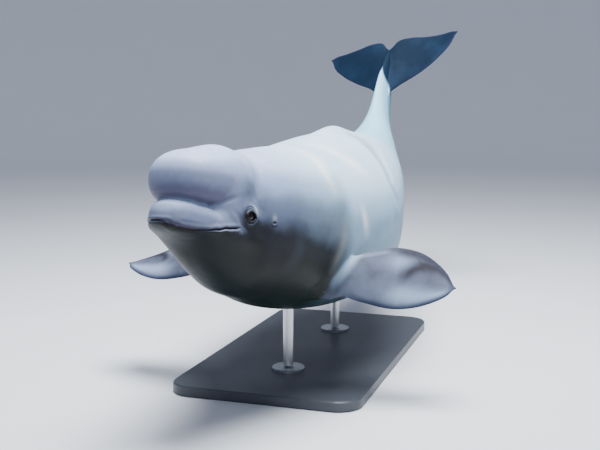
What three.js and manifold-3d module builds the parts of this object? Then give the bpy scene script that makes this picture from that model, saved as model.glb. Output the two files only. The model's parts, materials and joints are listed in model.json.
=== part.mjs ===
// A life-size beluga whale, swimming, held over a flat base by two rods.
//
// The whale is drawn twice over: first stretched straight in body coordinates, where s runs
// back from the snout, y to the whale's left and z up, then bent along its spine.
// Everything is in millimetres, +Z up. The whale heads toward -Y, and the origin is the
// centre of the base's underside.

import * as THREE from 'three';
import { mergeVertices } from 'three/addons/utils/BufferGeometryUtils.js';
import Module from 'manifold-3d';

const wasm = await Module();
wasm.setup();

// sizes

const GAP = 0.3; // kept between nodes that meet
const HEIGHT = 800; // from the floor to the spine at the shoulders
const SETBACK = -700; // the shoulders stand this far ahead of the base's centre
const COLUMNS = 40; // points round a section of the body

// points round a section of the head, as degrees up from its side, closer together at the lips
const HEAD_SIDE = [
  -86, -77, -68, -59, -50, -41, -32, -24, -17, -11, -6, -1, 4, 9, 13, 17, 21, 25, 29, 33, 37, 41, 46, 52,
  59, 67, 76, 85,
];

// the spine: distance from the snout, heading to the right, climb and bank, in degrees
const SPINE = [
  [0, 11.2, -16.6, -3.0],
  [350, 11.2, -16.6, -3.0],
  [850, 4.3, -8.4, 1.2],
  [1600, 0.2, 4.2, 1.2],
  [2400, -3.6, 6.5, 1.8],
  [3100, -4.3, 28.2, 1.8],
  [3600, -1.4, 57.2, -16.3],
  [4100, -1.4, 57.2, -16.3],
];
const SHOULDER = 850; // the point of the spine that HEIGHT and SETBACK place

// sections of the trunk: s, height above and below the spine, half width, squareness
const TRUNK = [
  [300, 205, 176, 165, 2.0],
  [500, 290, 285, 250, 2.1],
  [750, 343, 357, 330, 2.2],
  [1100, 378, 401, 386, 2.25],
  [1550, 400, 401, 430, 2.1],
  [2050, 356, 357, 357, 2.1],
  [2550, 292, 292, 266, 2.1],
  [3050, 195, 200, 158, 1.9],
  [3450, 128, 125, 60, 1.8],
  [3700, 88, 85, 34, 1.8],
  [3880, 40, 40, 30, 1.9],
  [3965, 12, 12, 12, 2.0],
];
// the belly and the low flanks are squarer by this much
const FULL_BELLY = [
  [750, 0],
  [1550, 0.8],
  [2050, 0.4],
  [2550, 0],
];
const FRONT_REACH = { above: 155, below: 191 }; // of the rounded front of the trunk, ahead of s = 300
const RIDGE = { from: 1310, to: 2320, height: 38, spread: 55 }; // the low ridge of the back

// rounded forms of the head: centre (s, y, z), half sizes, tilt and squareness
const MELON = { centre: [201, 0, 99], half: [182, 166, 128], tilt: 7, round: 2.25 };
const BROW = { centre: [320, 0, 112], half: [160, 160, 156], tilt: 0 };
const CHEEK = { centre: [335, 85, -60], half: [150, 94, 105], tilt: 0 };
const THROAT = { centre: [436, 0, -169], half: [202, 150, 115], tilt: -15 };
const EYE_SWELL = { centre: [352, 150, -14], half: [60, 47, 42], tilt: 0 };
const LOWER_LIP = { centre: [238, 0, -110], half: [170, 124, 30], square: [2.2, 2.0] };

// the thick band of the upper lip: its plan, its floor, and the height of its top along s
const UPPER_LIP = { centre: 236, half: [222, 158], square: [1.95, 2.8], floor: -130, widest: 0.4 };
const LIP_END = { from: 250, over: 54 };
const LIP_TOP = [
  [0, 0],
  [30, 24],
  [60, 25],
  [128, 13],
  [177, 2],
  [217, -11],
  [244, -28],
  [268, -46],
];

// where the nodes of the body part
const NECK_FRONT = 500;
const NECK_BACK = 800;
const TAIL_FRONT = 2300;
const HEAD_HEART = { s: 300, z: -85 }; // rays from here find the surface of the head
const HEAD_JOIN = 700; // behind this the trunk's own sections hold

// the line of the mouth, as s and z, and the end of the jaw below its corner
const MOUTH = [
  [0, -90],
  [16, -91],
  [32, -101],
  [54, -110],
  [88, -112],
  [134, -107],
  [175, -97],
  [221, -84],
  [267, -77],
];
const JAW_END = { s: 318, z: -330 };
const MOUTH_GROOVE = 5; // half the width of the groove between the lips

const EYE = { s: 338, z: -15, radius: 27, proud: 1 };
const LID = { half: [43, 34], opening: [24, 17.5], rise: 6 };
const EAR = { s: 463, z: -19, rim: 9, hole: 3.5 };
const BLOWHOLE = { s: 388, radius: 34, sweep: 112, groove: 5 };

// fins, as half widths ahead of and behind the middle line along the span from 0 to 1
const FLIPPER_LEAD = [
  [0, 75],
  [0.25, 100],
  [0.55, 118],
  [0.8, 82],
  [0.93, 40],
  [1, 3],
];
const FLIPPER_TRAIL = [
  [0, 85],
  [0.25, 133],
  [0.55, 175],
  [0.8, 133],
  [0.93, 64],
  [1, 3],
];
const FLIPPER_THICK = [
  [0, 32],
  [0.3, 22],
  [0.7, 12],
  [1, 3],
];
const FLIPPERS = {
  left: {
    side: 1, s: 927, z: -209, back: 21.8, down: 4.8, roll: 70.2,
    length: 545, curl: 0.156, sweep: 0.01, twist: -10.6,
  },
  right: {
    side: -1, s: 911, z: -175, back: 18.8, down: 17.8, roll: 54.9,
    length: 546, curl: 0.124, sweep: 0.097, twist: -38.4,
  },
};
const FLIPPER_SUNK = 0.24; // share of the length that is built on inside the body, then cut off

// flukes: s of the leading and trailing edges across the half span from 0 to 1
const FLUKE_LEAD = [
  [0, 3602],
  [0.25, 3680],
  [0.5, 3753],
  [0.75, 3846],
  [0.92, 3937],
  [1, 4014],
];
const FLUKE_TRAIL = [
  [0, 3964],
  [0.1, 4030],
  [0.3, 4059],
  [0.5, 4048],
  [0.75, 4038],
  [0.92, 4036],
  [1, 4025],
];
const FLUKE_THICK = [
  [0, 22],
  [0.3, 16],
  [0.7, 9],
  [1, 3],
];
const FLUKES = {
  left: { side: 1, half: 513, curl: 123, rise: -123 },
  right: { side: -1, half: 513, curl: -17, rise: -45 },
};
const FIN_EDGE = 1.5; // half the thickness of a fin's edges

const BASE = { length: 1700, width: 920, thick: 50, corner: 110, bevel: 6 };
const ROD = { radius: 25, flange: 80, flangeThick: 14, front: -430, rear: 400, side: 6 };

// curves through a table

// a smooth curve through the rows of a table, level at both ends
function along(table, x) {
  const last = table.length - 1;
  const at = Math.min(Math.max(x, table[0][0]), table[last][0]);
  let i = 0;
  while (i < last - 1 && at >= table[i + 1][0]) i += 1;
  const slope = (k, c) => {
    if (k === 0 || k === last) return 0;
    const before = table[k][0] - table[k - 1][0];
    const after = table[k + 1][0] - table[k][0];
    const rise = (table[k][c] - table[k - 1][c]) / before;
    const next = (table[k + 1][c] - table[k][c]) / after;
    return (rise * after + next * before) / (before + after);
  };
  const step = table[i + 1][0] - table[i][0];
  const t = (at - table[i][0]) / step;
  const row = [];
  for (let c = 1; c < table[0].length; c += 1) {
    const a = (2 * t ** 3 - 3 * t ** 2 + 1) * table[i][c];
    const b = (t ** 3 - 2 * t ** 2 + t) * step * slope(i, c);
    const d = (-2 * t ** 3 + 3 * t ** 2) * table[i + 1][c];
    const e = (t ** 3 - t ** 2) * step * slope(i + 1, c);
    row.push(a + b + d + e);
  }
  return row;
}

// the bent spine

const SPINE_STEP = 10;
const spine = [];
for (let s = 0; s <= 4100; s += SPINE_STEP) {
  const [heading, climb, bank] = along(SPINE, s).map(THREE.MathUtils.degToRad);
  const back = new THREE.Vector3(
    Math.sin(heading) * Math.cos(climb),
    Math.cos(heading) * Math.cos(climb),
    Math.sin(climb),
  );
  const level = new THREE.Vector3(
    -Math.sin(heading) * Math.sin(climb),
    -Math.cos(heading) * Math.sin(climb),
    Math.cos(climb),
  );
  const across = back.clone().cross(level);
  const up = level.clone().multiplyScalar(Math.cos(bank)).addScaledVector(across, Math.sin(bank));
  const left = across.multiplyScalar(Math.cos(bank)).addScaledVector(level, -Math.sin(bank));
  spine.push({ s, back, left, up, place: new THREE.Vector3() });
}
for (let i = 1; i < spine.length; i += 1) {
  const mean = spine[i - 1].back.clone().add(spine[i].back).multiplyScalar(SPINE_STEP / 2);
  spine[i].place.copy(spine[i - 1].place).add(mean);
}
const shoulder = spine[SHOULDER / SPINE_STEP].place.clone();
for (const joint of spine) joint.place.sub(shoulder);

// the frame of the spine at s
function frameAt(s) {
  const at = Math.min(Math.max(s, 0), 4100) / SPINE_STEP;
  const i = Math.min(Math.floor(at), spine.length - 2);
  const mix = (name) => spine[i][name].clone().lerp(spine[i + 1][name], at - i);
  return { s: at * SPINE_STEP, place: mix('place'), back: mix('back'), left: mix('left'), up: mix('up') };
}

// a point from body coordinates to its place on the bent whale
function bend([s, y, z]) {
  const f = frameAt(s);
  return f.place.addScaledVector(f.back, s - f.s).addScaledVector(f.left, y).addScaledVector(f.up, z);
}

// the surface of the body

// the smaller of two distances, blended over a width k
function blend(a, b, k) {
  const h = Math.max(k - Math.abs(a - b), 0) / k;
  return Math.min(a, b) - h * h * k * 0.25;
}

function toEgg([s, y, z], { centre, half, tilt, round = 2 }) {
  const a = THREE.MathUtils.degToRad(tilt);
  const ds = s - centre[0];
  const dz = z - centre[2];
  const turned = [ds * Math.cos(a) + dz * Math.sin(a), y - centre[1], dz * Math.cos(a) - ds * Math.sin(a)];
  const q = turned.map((v, k) => Math.abs(v) / half[k]);
  const near = Math.max((q[0] ** round + q[1] ** round + q[2] ** round) ** (1 / round), 1e-6);
  const steep = Math.hypot(...q.map((v, k) => v ** (round - 1) / half[k])) / near ** (round - 1);
  return (near - 1) / Math.max(steep, 1e-6);
}

function toLowerLip([s, y, z]) {
  const { centre, half, square } = LOWER_LIP;
  const [plan, side] = square;
  const flat = (Math.abs(s - centre[0]) / half[0]) ** plan + (Math.abs(y - centre[1]) / half[1]) ** plan;
  const rho = (flat ** (side / plan) + (Math.abs(z - centre[2]) / half[2]) ** side) ** (1 / side);
  return (rho - 1) * Math.min(...half);
}

function toUpperLip([s, y, z]) {
  const { centre, half, floor, widest } = UPPER_LIP;
  const [plan, side] = UPPER_LIP.square;
  const top = along(LIP_TOP, s)[0];
  const mid = floor + (top - floor) * widest;
  const high = z > mid ? top - mid : mid - floor;
  const ahead = Math.max(centre - s, 0) / half[0];
  const behind = Math.max(s - LIP_END.from, 0) / LIP_END.over;
  const flat = (ahead ** plan + (Math.abs(y) / half[1]) ** plan + behind ** plan) ** (side / plan);
  return ((flat + (Math.abs(z - mid) / high) ** side) ** (1 / side) - 1) * 60;
}

// how far a point lies outside the head and the front of the trunk, negative inside
function toHead(point) {
  const [s, y, z] = point;
  const mirrored = [s, Math.abs(y), z];
  const [top, bottom, half, n] = along(TRUNK, Math.max(s, TRUNK[0][0]));
  const high = z > 0 ? top : bottom;
  const low = THREE.MathUtils.smoothstep(-z, 20, 120);
  const reach = THREE.MathUtils.lerp(FRONT_REACH.above, FRONT_REACH.below, low);
  const ahead = Math.max(TRUNK[0][0] - s, 0) / reach;
  const rho = ((Math.abs(y) / half) ** n + (Math.abs(z) / high) ** n + ahead ** n) ** (1 / n);
  let d = (rho - 1) * Math.min(half, high);
  d = blend(d, toEgg(mirrored, CHEEK), 60);
  d = blend(d, toEgg(point, THROAT), 110);
  d = blend(d, toEgg(mirrored, EYE_SWELL), 30);
  d = blend(toLowerLip(point), d, 50);
  d = blend(toUpperLip(point), d, 16);
  const forehead = blend(toEgg(point, MELON), toEgg(point, BROW), 60);
  return blend(forehead, d, 14 + 80 * THREE.MathUtils.smoothstep(s, 150, 320));
}

// the point where a ray from inside leaves the head
function leave(from, way, reach) {
  let inside = 0;
  let outside = reach;
  for (let k = 0; k < 26; k += 1) {
    const mid = (inside + outside) / 2;
    const d = toHead([from[0] + way[0] * mid, from[1] + way[1] * mid, from[2] + way[2] * mid]);
    if (d < 0) inside = mid;
    else outside = mid;
  }
  return [from[0] + way[0] * inside, from[1] + way[1] * inside, from[2] + way[2] * inside];
}

const angles = [];
for (let k = 0; k < COLUMNS; k += 1) angles.push((2 * Math.PI * (k + 0.5)) / COLUMNS);
const headAngles = [...HEAD_SIDE, ...HEAD_SIDE.map((a) => 180 - a).reverse()].map(THREE.MathUtils.degToRad);

// one section of the body in its own plane, grown outward by a small amount
function section(s, grow = 0, round = angles) {
  return round.map((a) => {
    const c = Math.cos(a);
    const v = Math.sin(a);
    if (s <= HEAD_JOIN) {
      const t = THREE.MathUtils.smoothstep(s, HEAD_HEART.s, HEAD_JOIN);
      const [, y, z] = leave([s, 0, HEAD_HEART.z * (1 - t)], [0, c, v], 900);
      return [s, y + c * grow, z + v * grow];
    }
    const [top, bottom, half, square] = along(TRUNK, s);
    const n = v > 0 ? square : square + along(FULL_BELLY, s)[0];
    const r = ((Math.abs(c) / half) ** n + (Math.abs(v) / (v > 0 ? top : bottom)) ** n) ** (-1 / n);
    const share = THREE.MathUtils.clamp((s - RIDGE.from) / (RIDGE.to - RIDGE.from), 0, 1);
    const crest = Math.sin(Math.PI * share) ** 2 * Math.exp(-(((r * c) / RIDGE.spread) ** 2));
    const lift = v > 0 ? RIDGE.height * crest : 0;
    return [s, (r + grow) * c, (r + grow) * v + lift];
  });
}

// meshes and solids

// a closed surface through rings of points, with a fan on the ring or point at each end
function loft(rings, pose = bend) {
  const at = [];
  const index = [];
  const add = (p) => at.push(...pose(p).toArray()) / 3 - 1;
  const rows = rings.map((ring) => ring.map(add));
  const mid = (ring) => ring[0].map((_, c) => ring.reduce((sum, p) => sum + p[c], 0) / ring.length);
  for (let i = 0; i + 1 < rows.length; i += 1) {
    const [a, b] = [rows[i], rows[i + 1]];
    const n = Math.max(a.length, b.length);
    for (let j = 0; j < n; j += 1) {
      const k = (j + 1) % n;
      if (a.length > 1) index.push(a[j], b.length > 1 ? b[k] : b[0], a[k]);
      if (b.length > 1) index.push(a.length > 1 ? a[j] : a[0], b[j], b[k]);
    }
  }
  const ends = [
    [rings[0], rows[0], 1],
    [rings.at(-1), rows.at(-1), -1],
  ];
  for (const [ring, row, turn] of ends) {
    if (ring.length > 1) {
      const hub = add(mid(ring));
      row.forEach((p, j) => {
        const q = row[(j + 1) % row.length];
        index.push(...(turn > 0 ? [hub, p, q] : [hub, q, p]));
      });
    }
  }
  const shape = new THREE.BufferGeometry();
  shape.setAttribute('position', new THREE.Float32BufferAttribute(at, 3));
  shape.setIndex(index);
  return shape;
}

// six times the volume, to tell a surface that is inside out
function signedVolume(shape) {
  const p = shape.attributes.position;
  const [a, b, c] = [new THREE.Vector3(), new THREE.Vector3(), new THREE.Vector3()];
  let sum = 0;
  for (let i = 0; i < shape.index.count; i += 3) {
    a.fromBufferAttribute(p, shape.index.getX(i));
    b.fromBufferAttribute(p, shape.index.getX(i + 1));
    c.fromBufferAttribute(p, shape.index.getX(i + 2));
    sum += a.dot(b.cross(c));
  }
  return sum;
}

function solid(source) {
  const bare = source.clone();
  bare.deleteAttribute('normal');
  bare.deleteAttribute('uv');
  const shape = mergeVertices(bare, 1e-4);
  const tris = Array.from(shape.index.array);
  if (signedVolume(shape) < 0) {
    for (let i = 0; i < tris.length; i += 3) [tris[i], tris[i + 1]] = [tris[i + 1], tris[i]];
  }
  const mesh = new wasm.Mesh({
    numProp: 3,
    vertProperties: new Float32Array(shape.attributes.position.array),
    triVerts: new Uint32Array(tris),
  });
  mesh.merge();
  return new wasm.Manifold(mesh);
}

// the closed bodies of a solid, largest first
function bodies(whole) {
  return whole.decompose().sort((a, b) => b.volume() - a.volume());
}

function toGeometry(body) {
  const mesh = body.getMesh();
  const shape = new THREE.BufferGeometry();
  shape.setAttribute('position', new THREE.BufferAttribute(new Float32Array(mesh.vertProperties), 3));
  shape.setIndex(new THREE.BufferAttribute(new Uint32Array(mesh.triVerts), 1));
  return shape;
}

function union(first, ...others) {
  return others.reduce((sum, next) => sum.add(next), first);
}

// a tube with a four-cornered section along points, tapering to nothing at both ends
function groove(points, outward, wide, deep) {
  const curve = new THREE.CatmullRomCurve3(points.map((p) => bend(p)));
  const count = Math.round(points.length * 1.4);
  const rings = [];
  for (let i = 0; i <= count; i += 1) {
    const t = i / count;
    const swell = Math.sin(Math.PI * THREE.MathUtils.clamp(t, 0.02, 0.98)) ** 0.35;
    const place = curve.getPointAt(t);
    const run = curve.getTangentAt(t);
    const out = outward(place);
    const wing = run.clone().cross(out).normalize();
    const corner = (a, b) => place.clone().addScaledVector(wing, a * wide * swell)
      .addScaledVector(out, b * deep * swell);
    rings.push([corner(1, 0), corner(0, 1), corner(-1, 0), corner(0, -1)]);
  }
  return solid(loft(rings.map((ring) => ring.map((p) => p.toArray())), (p) => new THREE.Vector3(...p)));
}

// places on the head

// the surface beside the head at s and z, and the way it faces there
function flank(s, z, side) {
  const point = leave([s, 0, z], [0, side, 0], 600);
  const e = 2;
  const slope = [0, 1, 2].map((c) => {
    const more = point.map((v, k) => v + (k === c ? e : 0));
    const less = point.map((v, k) => v - (k === c ? e : 0));
    return toHead(more) - toHead(less);
  });
  const out = bend(point.map((v, k) => v + slope[k] / e)).sub(bend(point)).normalize();
  return { point, place: bend(point), out };
}

// a transform that stands a small form on the head: x to the rear, y up, z outward
function standOn({ place, out }, s) {
  const rear = frameAt(s).back.clone();
  rear.addScaledVector(out, -rear.dot(out)).normalize();
  const up = out.clone().cross(rear);
  return new THREE.Matrix4().makeBasis(rear, up, out).setPosition(place);
}

// a raised ring round an opening: an outer foot, a crest, and an inner edge that drops inside
function rimRing(half, opening, rise, count, drop) {
  const at = [];
  const index = [];
  for (let i = 0; i < count; i += 1) {
    const a = (2 * Math.PI * i) / count;
    const [c, v] = [Math.cos(a), Math.sin(a)];
    const pinch = 1 - 0.25 * Math.abs(c) ** 6; // the opening narrows to its corners
    const brow = v > 0 ? 1.15 : 0.85; // the upper lid is the fuller
    const ring = [
      [half[0] * c, half[1] * v, -2],
      [half[0] * 0.82 * c, half[1] * 0.82 * v, rise * 0.75 * brow],
      [(opening[0] + 3.5) * c, (opening[1] + 3.5) * v * pinch, rise * brow],
      [opening[0] * c, opening[1] * v * pinch, rise * 0.4],
      [opening[0] * c, opening[1] * v * pinch, -drop],
      [half[0] * 0.9 * c, half[1] * 0.9 * v, -drop],
    ];
    for (const p of ring) at.push(...p);
  }
  const n = 6;
  for (let i = 0; i < count; i += 1) {
    const k = (i + 1) % count;
    for (let j = 0; j < n; j += 1) {
      const m = (j + 1) % n;
      index.push(i * n + j, k * n + j, k * n + m, i * n + j, k * n + m, i * n + m);
    }
  }
  const shape = new THREE.BufferGeometry();
  shape.setAttribute('position', new THREE.Float32BufferAttribute(at, 3));
  shape.setIndex(index);
  return shape;
}

// the head

const CAP_RINGS = 22;
const headRings = [];
for (let i = 0; i <= CAP_RINGS; i += 1) {
  const t = (Math.PI / 2) * (i / CAP_RINGS) ** 1.12;
  const cast = (a) => leave(
    [HEAD_HEART.s, 0, HEAD_HEART.z],
    [-Math.cos(t), Math.sin(t) * Math.cos(a), Math.sin(t) * Math.sin(a)],
    700,
  );
  headRings.push(i === 0 ? [cast(0)] : headAngles.map(cast));
}
const HEAD_STATIONS = [328, 356, 386, 420, 458];
for (const s of HEAD_STATIONS) headRings.push(section(s, 0, headAngles));

// moves a ring along the spine by a hair without turning its plane, for the flat end of a node
function endRing(s, shift, grow = 0, round = angles) {
  const { back } = frameAt(s);
  return section(s, grow, round).map((p) => bend(p).addScaledVector(back, shift).toArray());
}
const placed = (p) => new THREE.Vector3(...p);
const bent = (ring) => ring.map((p) => bend(p).toArray());

const headSkin = [...headRings.map(bent), endRing(NECK_FRONT, -GAP / 2, 0, headAngles)];
let head = solid(loft(headSkin, placed));

// lids, sockets, ears and the blowhole
const eyes = {};
for (const [name, side] of [['left', 1], ['right', -1]]) {
  const eye = flank(EYE.s, EYE.z, side);
  const lids = rimRing(LID.half, LID.opening, LID.rise, 16, 9).applyMatrix4(standOn(eye, EYE.s));
  const centre = eye.place.clone().addScaledVector(eye.out, EYE.proud - EYE.radius);
  const socket = new THREE.SphereGeometry(EYE.radius + GAP, 16, 10).translate(...centre.toArray());
  const mouthOf = new THREE.CylinderGeometry(1, 0.8, 16, 14).rotateX(Math.PI / 2)
    .scale(LID.opening[0] - 0.5, LID.opening[1] - 1.5, 1).applyMatrix4(standOn(eye, EYE.s));
  head = union(head, solid(lids)).subtract(solid(socket)).subtract(solid(mouthOf));
  eyes[name] = centre;
  const ear = flank(EAR.s, EAR.z, side);
  const rim = rimRing([EAR.rim, EAR.rim], [EAR.hole, EAR.hole], 1.6, 12, 4);
  const hole = new THREE.SphereGeometry(EAR.hole, 10, 6);
  head = union(head, solid(rim.applyMatrix4(standOn(ear, EAR.s))));
  head = head.subtract(solid(hole.applyMatrix4(standOn(ear, EAR.s))));
}
const crown = (s, y) => leave([s, y, 60], [0, 0, 1], 400);
const blowhole = [];
for (let i = 0; i <= 8; i += 1) {
  const a = THREE.MathUtils.degToRad(BLOWHOLE.sweep) * (i / 8 - 0.5);
  blowhole.push(crown(BLOWHOLE.s + BLOWHOLE.radius * (Math.cos(a) - 1), BLOWHOLE.radius * Math.sin(a)));
}
const overhead = () => frameAt(BLOWHOLE.s).up.clone();
head = head.subtract(groove(blowhole, overhead, BLOWHOLE.groove, BLOWHOLE.groove * 2));

// the groove between the lips, from corner to corner round the snout
const mouthHeight = (s) => along(MOUTH, s)[0];
const lipLine = [];
const corner = MOUTH.at(-1)[0];
for (let i = -12; i <= 12; i += 1) {
  const t = Math.abs(i) / 12;
  const a = (Math.PI / 2) * t * 0.93;
  const s = corner + 40 - (corner + 37) * Math.cos(a) ** 0.9;
  const from = [corner, 0, mouthHeight(s)];
  const way = new THREE.Vector2(s - corner, Math.sign(i) * 118 * Math.sin(a)).normalize();
  let point = leave(from, [way.x, way.y, 0], 500);
  point = leave([corner, 0, mouthHeight(point[0])], [way.x, way.y, 0], 500);
  lipLine.push(point);
}
const muzzle = bend([corner, 0, mouthHeight(corner)]);
const fromMuzzle = (p) => p.clone().sub(muzzle).normalize();
head = head.subtract(groove(lipLine, fromMuzzle, MOUTH_GROOVE, MOUTH_GROOVE * 1.8));

// the thin curved cut that frees the lower jaw
const cutLine = [];
for (let i = 0; i <= 12; i += 1) {
  const s = -60 + (corner + 60) * (i / 12);
  cutLine.push(new THREE.Vector2(s, mouthHeight(s)));
}
const below = new THREE.Vector2(JAW_END.s, JAW_END.z);
const turn = cutLine.at(-1).clone();
cutLine.push(turn.clone().add(new THREE.Vector2(8, -6)));
cutLine.push(turn.clone().add(new THREE.Vector2(12, -18)));
cutLine.push(below);
function ribbon(line, width, halfSpan) {
  const rings = line.map((p, i) => {
    const before = line[Math.max(i - 1, 0)];
    const after = line[Math.min(i + 1, line.length - 1)];
    const came = p.clone().sub(before).normalize();
    const goes = after.clone().sub(p).normalize();
    const run = came.clone().add(goes).normalize();
    const miter = width / 2 / Math.max(run.dot(came), run.dot(goes));
    const edge = (way, y) => [p.x + run.y * way * miter, y, p.y - run.x * way * miter];
    return [edge(-1, halfSpan), edge(1, halfSpan), edge(1, -halfSpan), edge(-1, -halfSpan)];
  });
  return loft(rings);
}
const [upperHead, lowerJaw] = bodies(head.subtract(solid(ribbon(cutLine, GAP, 300))));

// neck, torso and tail

function stations(from, to, count) {
  return Array.from({ length: count - 1 }, (_, i) => from + ((to - from) * (i + 1)) / count);
}
const NECK_STATIONS = stations(NECK_FRONT, NECK_BACK, 5);
const TORSO_STATIONS = stations(NECK_BACK, TAIL_FRONT, 15);
const TAIL_STATIONS = stations(TAIL_FRONT, 3880, 15);
const TAIL_END = TRUNK.at(-1)[0];

function length(from, between, to) {
  const first = endRing(from, GAP / 2);
  const last = to === TAIL_END ? bent(section(to)) : endRing(to, -GAP / 2);
  return loft([first, ...between.map((s) => bent(section(s))), last], placed);
}
const neck = solid(length(NECK_FRONT, NECK_STATIONS, NECK_BACK));
const torso = solid(length(NECK_BACK, TORSO_STATIONS, TAIL_FRONT));
const tail = solid(length(TAIL_FRONT, [...TAIL_STATIONS, 3880, 3930], TAIL_END));

// the same body a hair larger, to cut what meets it
const allStations = [
  NECK_FRONT, ...NECK_STATIONS, NECK_BACK, ...TORSO_STATIONS, TAIL_FRONT, ...TAIL_STATIONS, 3880, 3930,
];
const grown = [...allStations.map((s) => bent(section(s, GAP * 1.2))), endRing(TAIL_END, GAP, GAP * 1.2)];
const clearance = loft(grown, placed);

// fins

const FIN_SIDES = 9;
// the outline of a fin's section, from its leading edge over the top and back below
function finRing(lead, trail, face, half) {
  const over = [];
  const under = [];
  for (let k = 0; k <= FIN_SIDES; k += 1) {
    const u = (1 - Math.cos((Math.PI * k) / FIN_SIDES)) / 2;
    const fat = FIN_EDGE + 1.9 * half * Math.sqrt(u) * (1 - u) ** 0.85;
    const on = lead.clone().lerp(trail, u);
    over.push(on.clone().addScaledVector(face, fat));
    under.unshift(on.clone().addScaledVector(face, -fat));
  }
  return [...over, ...under].map((p) => p.toArray());
}
// steps along a span from 0 to 1, closer together toward the tip
function spanSteps(count) {
  return Array.from({ length: count + 1 }, (_, i) => Math.sin((Math.PI / 2) * (i / count)));
}

function flipper({ side, s, z, back, down, roll, length: span, curl, sweep, twist }) {
  const [b, d, r] = [back, down, roll].map(THREE.MathUtils.degToRad);
  const out = new THREE.Vector3(Math.sin(b) * Math.cos(d), Math.cos(b) * Math.cos(d), -Math.sin(d));
  const flat = new THREE.Vector3(Math.cos(b), -Math.sin(b), 0);
  const lift = flat.clone().cross(out);
  const chord = flat.clone().multiplyScalar(Math.cos(r)).addScaledVector(lift, Math.sin(r));
  const face = lift.clone().multiplyScalar(Math.cos(r)).addScaledVector(flat, -Math.sin(r));
  const root = new THREE.Vector3(...leave([s, 0, z], [0, 1, 0], 600)).add(new THREE.Vector3(0, -20, 0));
  const rings = [-FLIPPER_SUNK, ...spanSteps(13)].map((t) => {
    const held = Math.max(t, 0);
    const turn = THREE.MathUtils.degToRad(twist) * held;
    const line = root.clone().addScaledVector(out, span * t)
      .addScaledVector(face, curl * span * held ** 2).addScaledVector(chord, sweep * span * held ** 2);
    const run = chord.clone().multiplyScalar(Math.cos(turn)).addScaledVector(face, Math.sin(turn));
    const normal = face.clone().multiplyScalar(Math.cos(turn)).addScaledVector(chord, -Math.sin(turn));
    const lead = line.clone().addScaledVector(run, -along(FLIPPER_LEAD, held)[0]);
    const trail = line.clone().addScaledVector(run, along(FLIPPER_TRAIL, held)[0]);
    return finRing(lead, trail, normal, along(FLIPPER_THICK, held)[0]);
  });
  return loft(rings.map((ring) => ring.map(([x, y, h]) => [x, y * side, h])));
}

function fluke({ side, half, curl, rise }) {
  const rings = spanSteps(13).map((q) => {
    const t = 0.014 + 0.986 * q;
    const at = (x) => new THREE.Vector3(x, side * half * t, curl * t ** 2 + rise * t);
    const normal = new THREE.Vector3(0, -side * (2 * curl * t + rise) / half, 1).normalize();
    const thick = along(FLUKE_THICK, t)[0];
    return finRing(at(along(FLUKE_LEAD, t)[0]), at(along(FLUKE_TRAIL, t)[0]), normal, thick);
  });
  return loft(rings);
}

const cutter = solid(clearance);
const rooted = (shape) => bodies(solid(shape).subtract(cutter))[0];

// the stand

function roundedPlate({ length: long, width, thick, corner: round, bevel }) {
  const [x, y] = [width / 2 - bevel, long / 2 - bevel];
  const plan = new THREE.Shape();
  plan.moveTo(-x + round, -y);
  plan.lineTo(x - round, -y).absarc(x - round, -y + round, round, -Math.PI / 2, 0);
  plan.lineTo(x, y - round).absarc(x - round, y - round, round, 0, Math.PI / 2);
  plan.lineTo(-x + round, y).absarc(-x + round, y - round, round, Math.PI / 2, Math.PI);
  plan.lineTo(-x, -y + round).absarc(-x + round, -y + round, round, Math.PI, Math.PI * 1.5);
  const depth = thick - 2 * bevel;
  const sizes = { depth, bevelThickness: bevel, bevelSize: bevel, bevelSegments: 1, curveSegments: 6 };
  return new THREE.ExtrudeGeometry(plan, sizes).translate(0, 0, bevel);
}

// a rod with a flange at its foot, tall enough to end inside the whale
function rod() {
  const top = HEIGHT - 90;
  const profile = [
    [0, 0],
    [ROD.flange, 0],
    [ROD.flange, ROD.flangeThick - 3],
    [ROD.flange - 3, ROD.flangeThick],
    [ROD.radius + 8, ROD.flangeThick],
    [ROD.radius, ROD.flangeThick + 8],
    [ROD.radius, top],
    [0, top],
  ].map(([r, h]) => new THREE.Vector2(r, h));
  return new THREE.LatheGeometry(profile, 28).rotateX(Math.PI / 2);
}
const standingBody = solid(clearance.clone().translate(0, SETBACK, HEIGHT));
const rodAt = (y) => rod().translate(ROD.side, y, BASE.thick + GAP);
const cutRod = (y) => bodies(solid(rodAt(y)).subtract(standingBody)).sort((a, b) => {
  return a.boundingBox().min[2] - b.boundingBox().min[2];
})[0];

// the model

const skin = { roughness: 0.42, metalness: 0 };
const paint = {
  white: new THREE.MeshStandardMaterial({ color: 0xd3d4de, ...skin }),
  pale: new THREE.MeshStandardMaterial({ color: 0xd9e4ea, ...skin }),
  grey: new THREE.MeshStandardMaterial({ color: 0xa9acc0, ...skin }),
  slate: new THREE.MeshStandardMaterial({ color: 0x33425e, ...skin }),
  eye: new THREE.MeshStandardMaterial({ color: 0x15100e, roughness: 0.08, metalness: 0 }),
  steel: new THREE.MeshStandardMaterial({ color: 0xb9bdc2, roughness: 0.32, metalness: 1 }),
  base: new THREE.MeshStandardMaterial({ color: 0x2b2f36, roughness: 0.45, metalness: 0 }),
};

function named(name, shape, material) {
  const mesh = new THREE.Mesh(shape, material.clone());
  mesh.name = name;
  return mesh;
}
const from = (name, body, material) => named(name, toGeometry(body), material);

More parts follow.
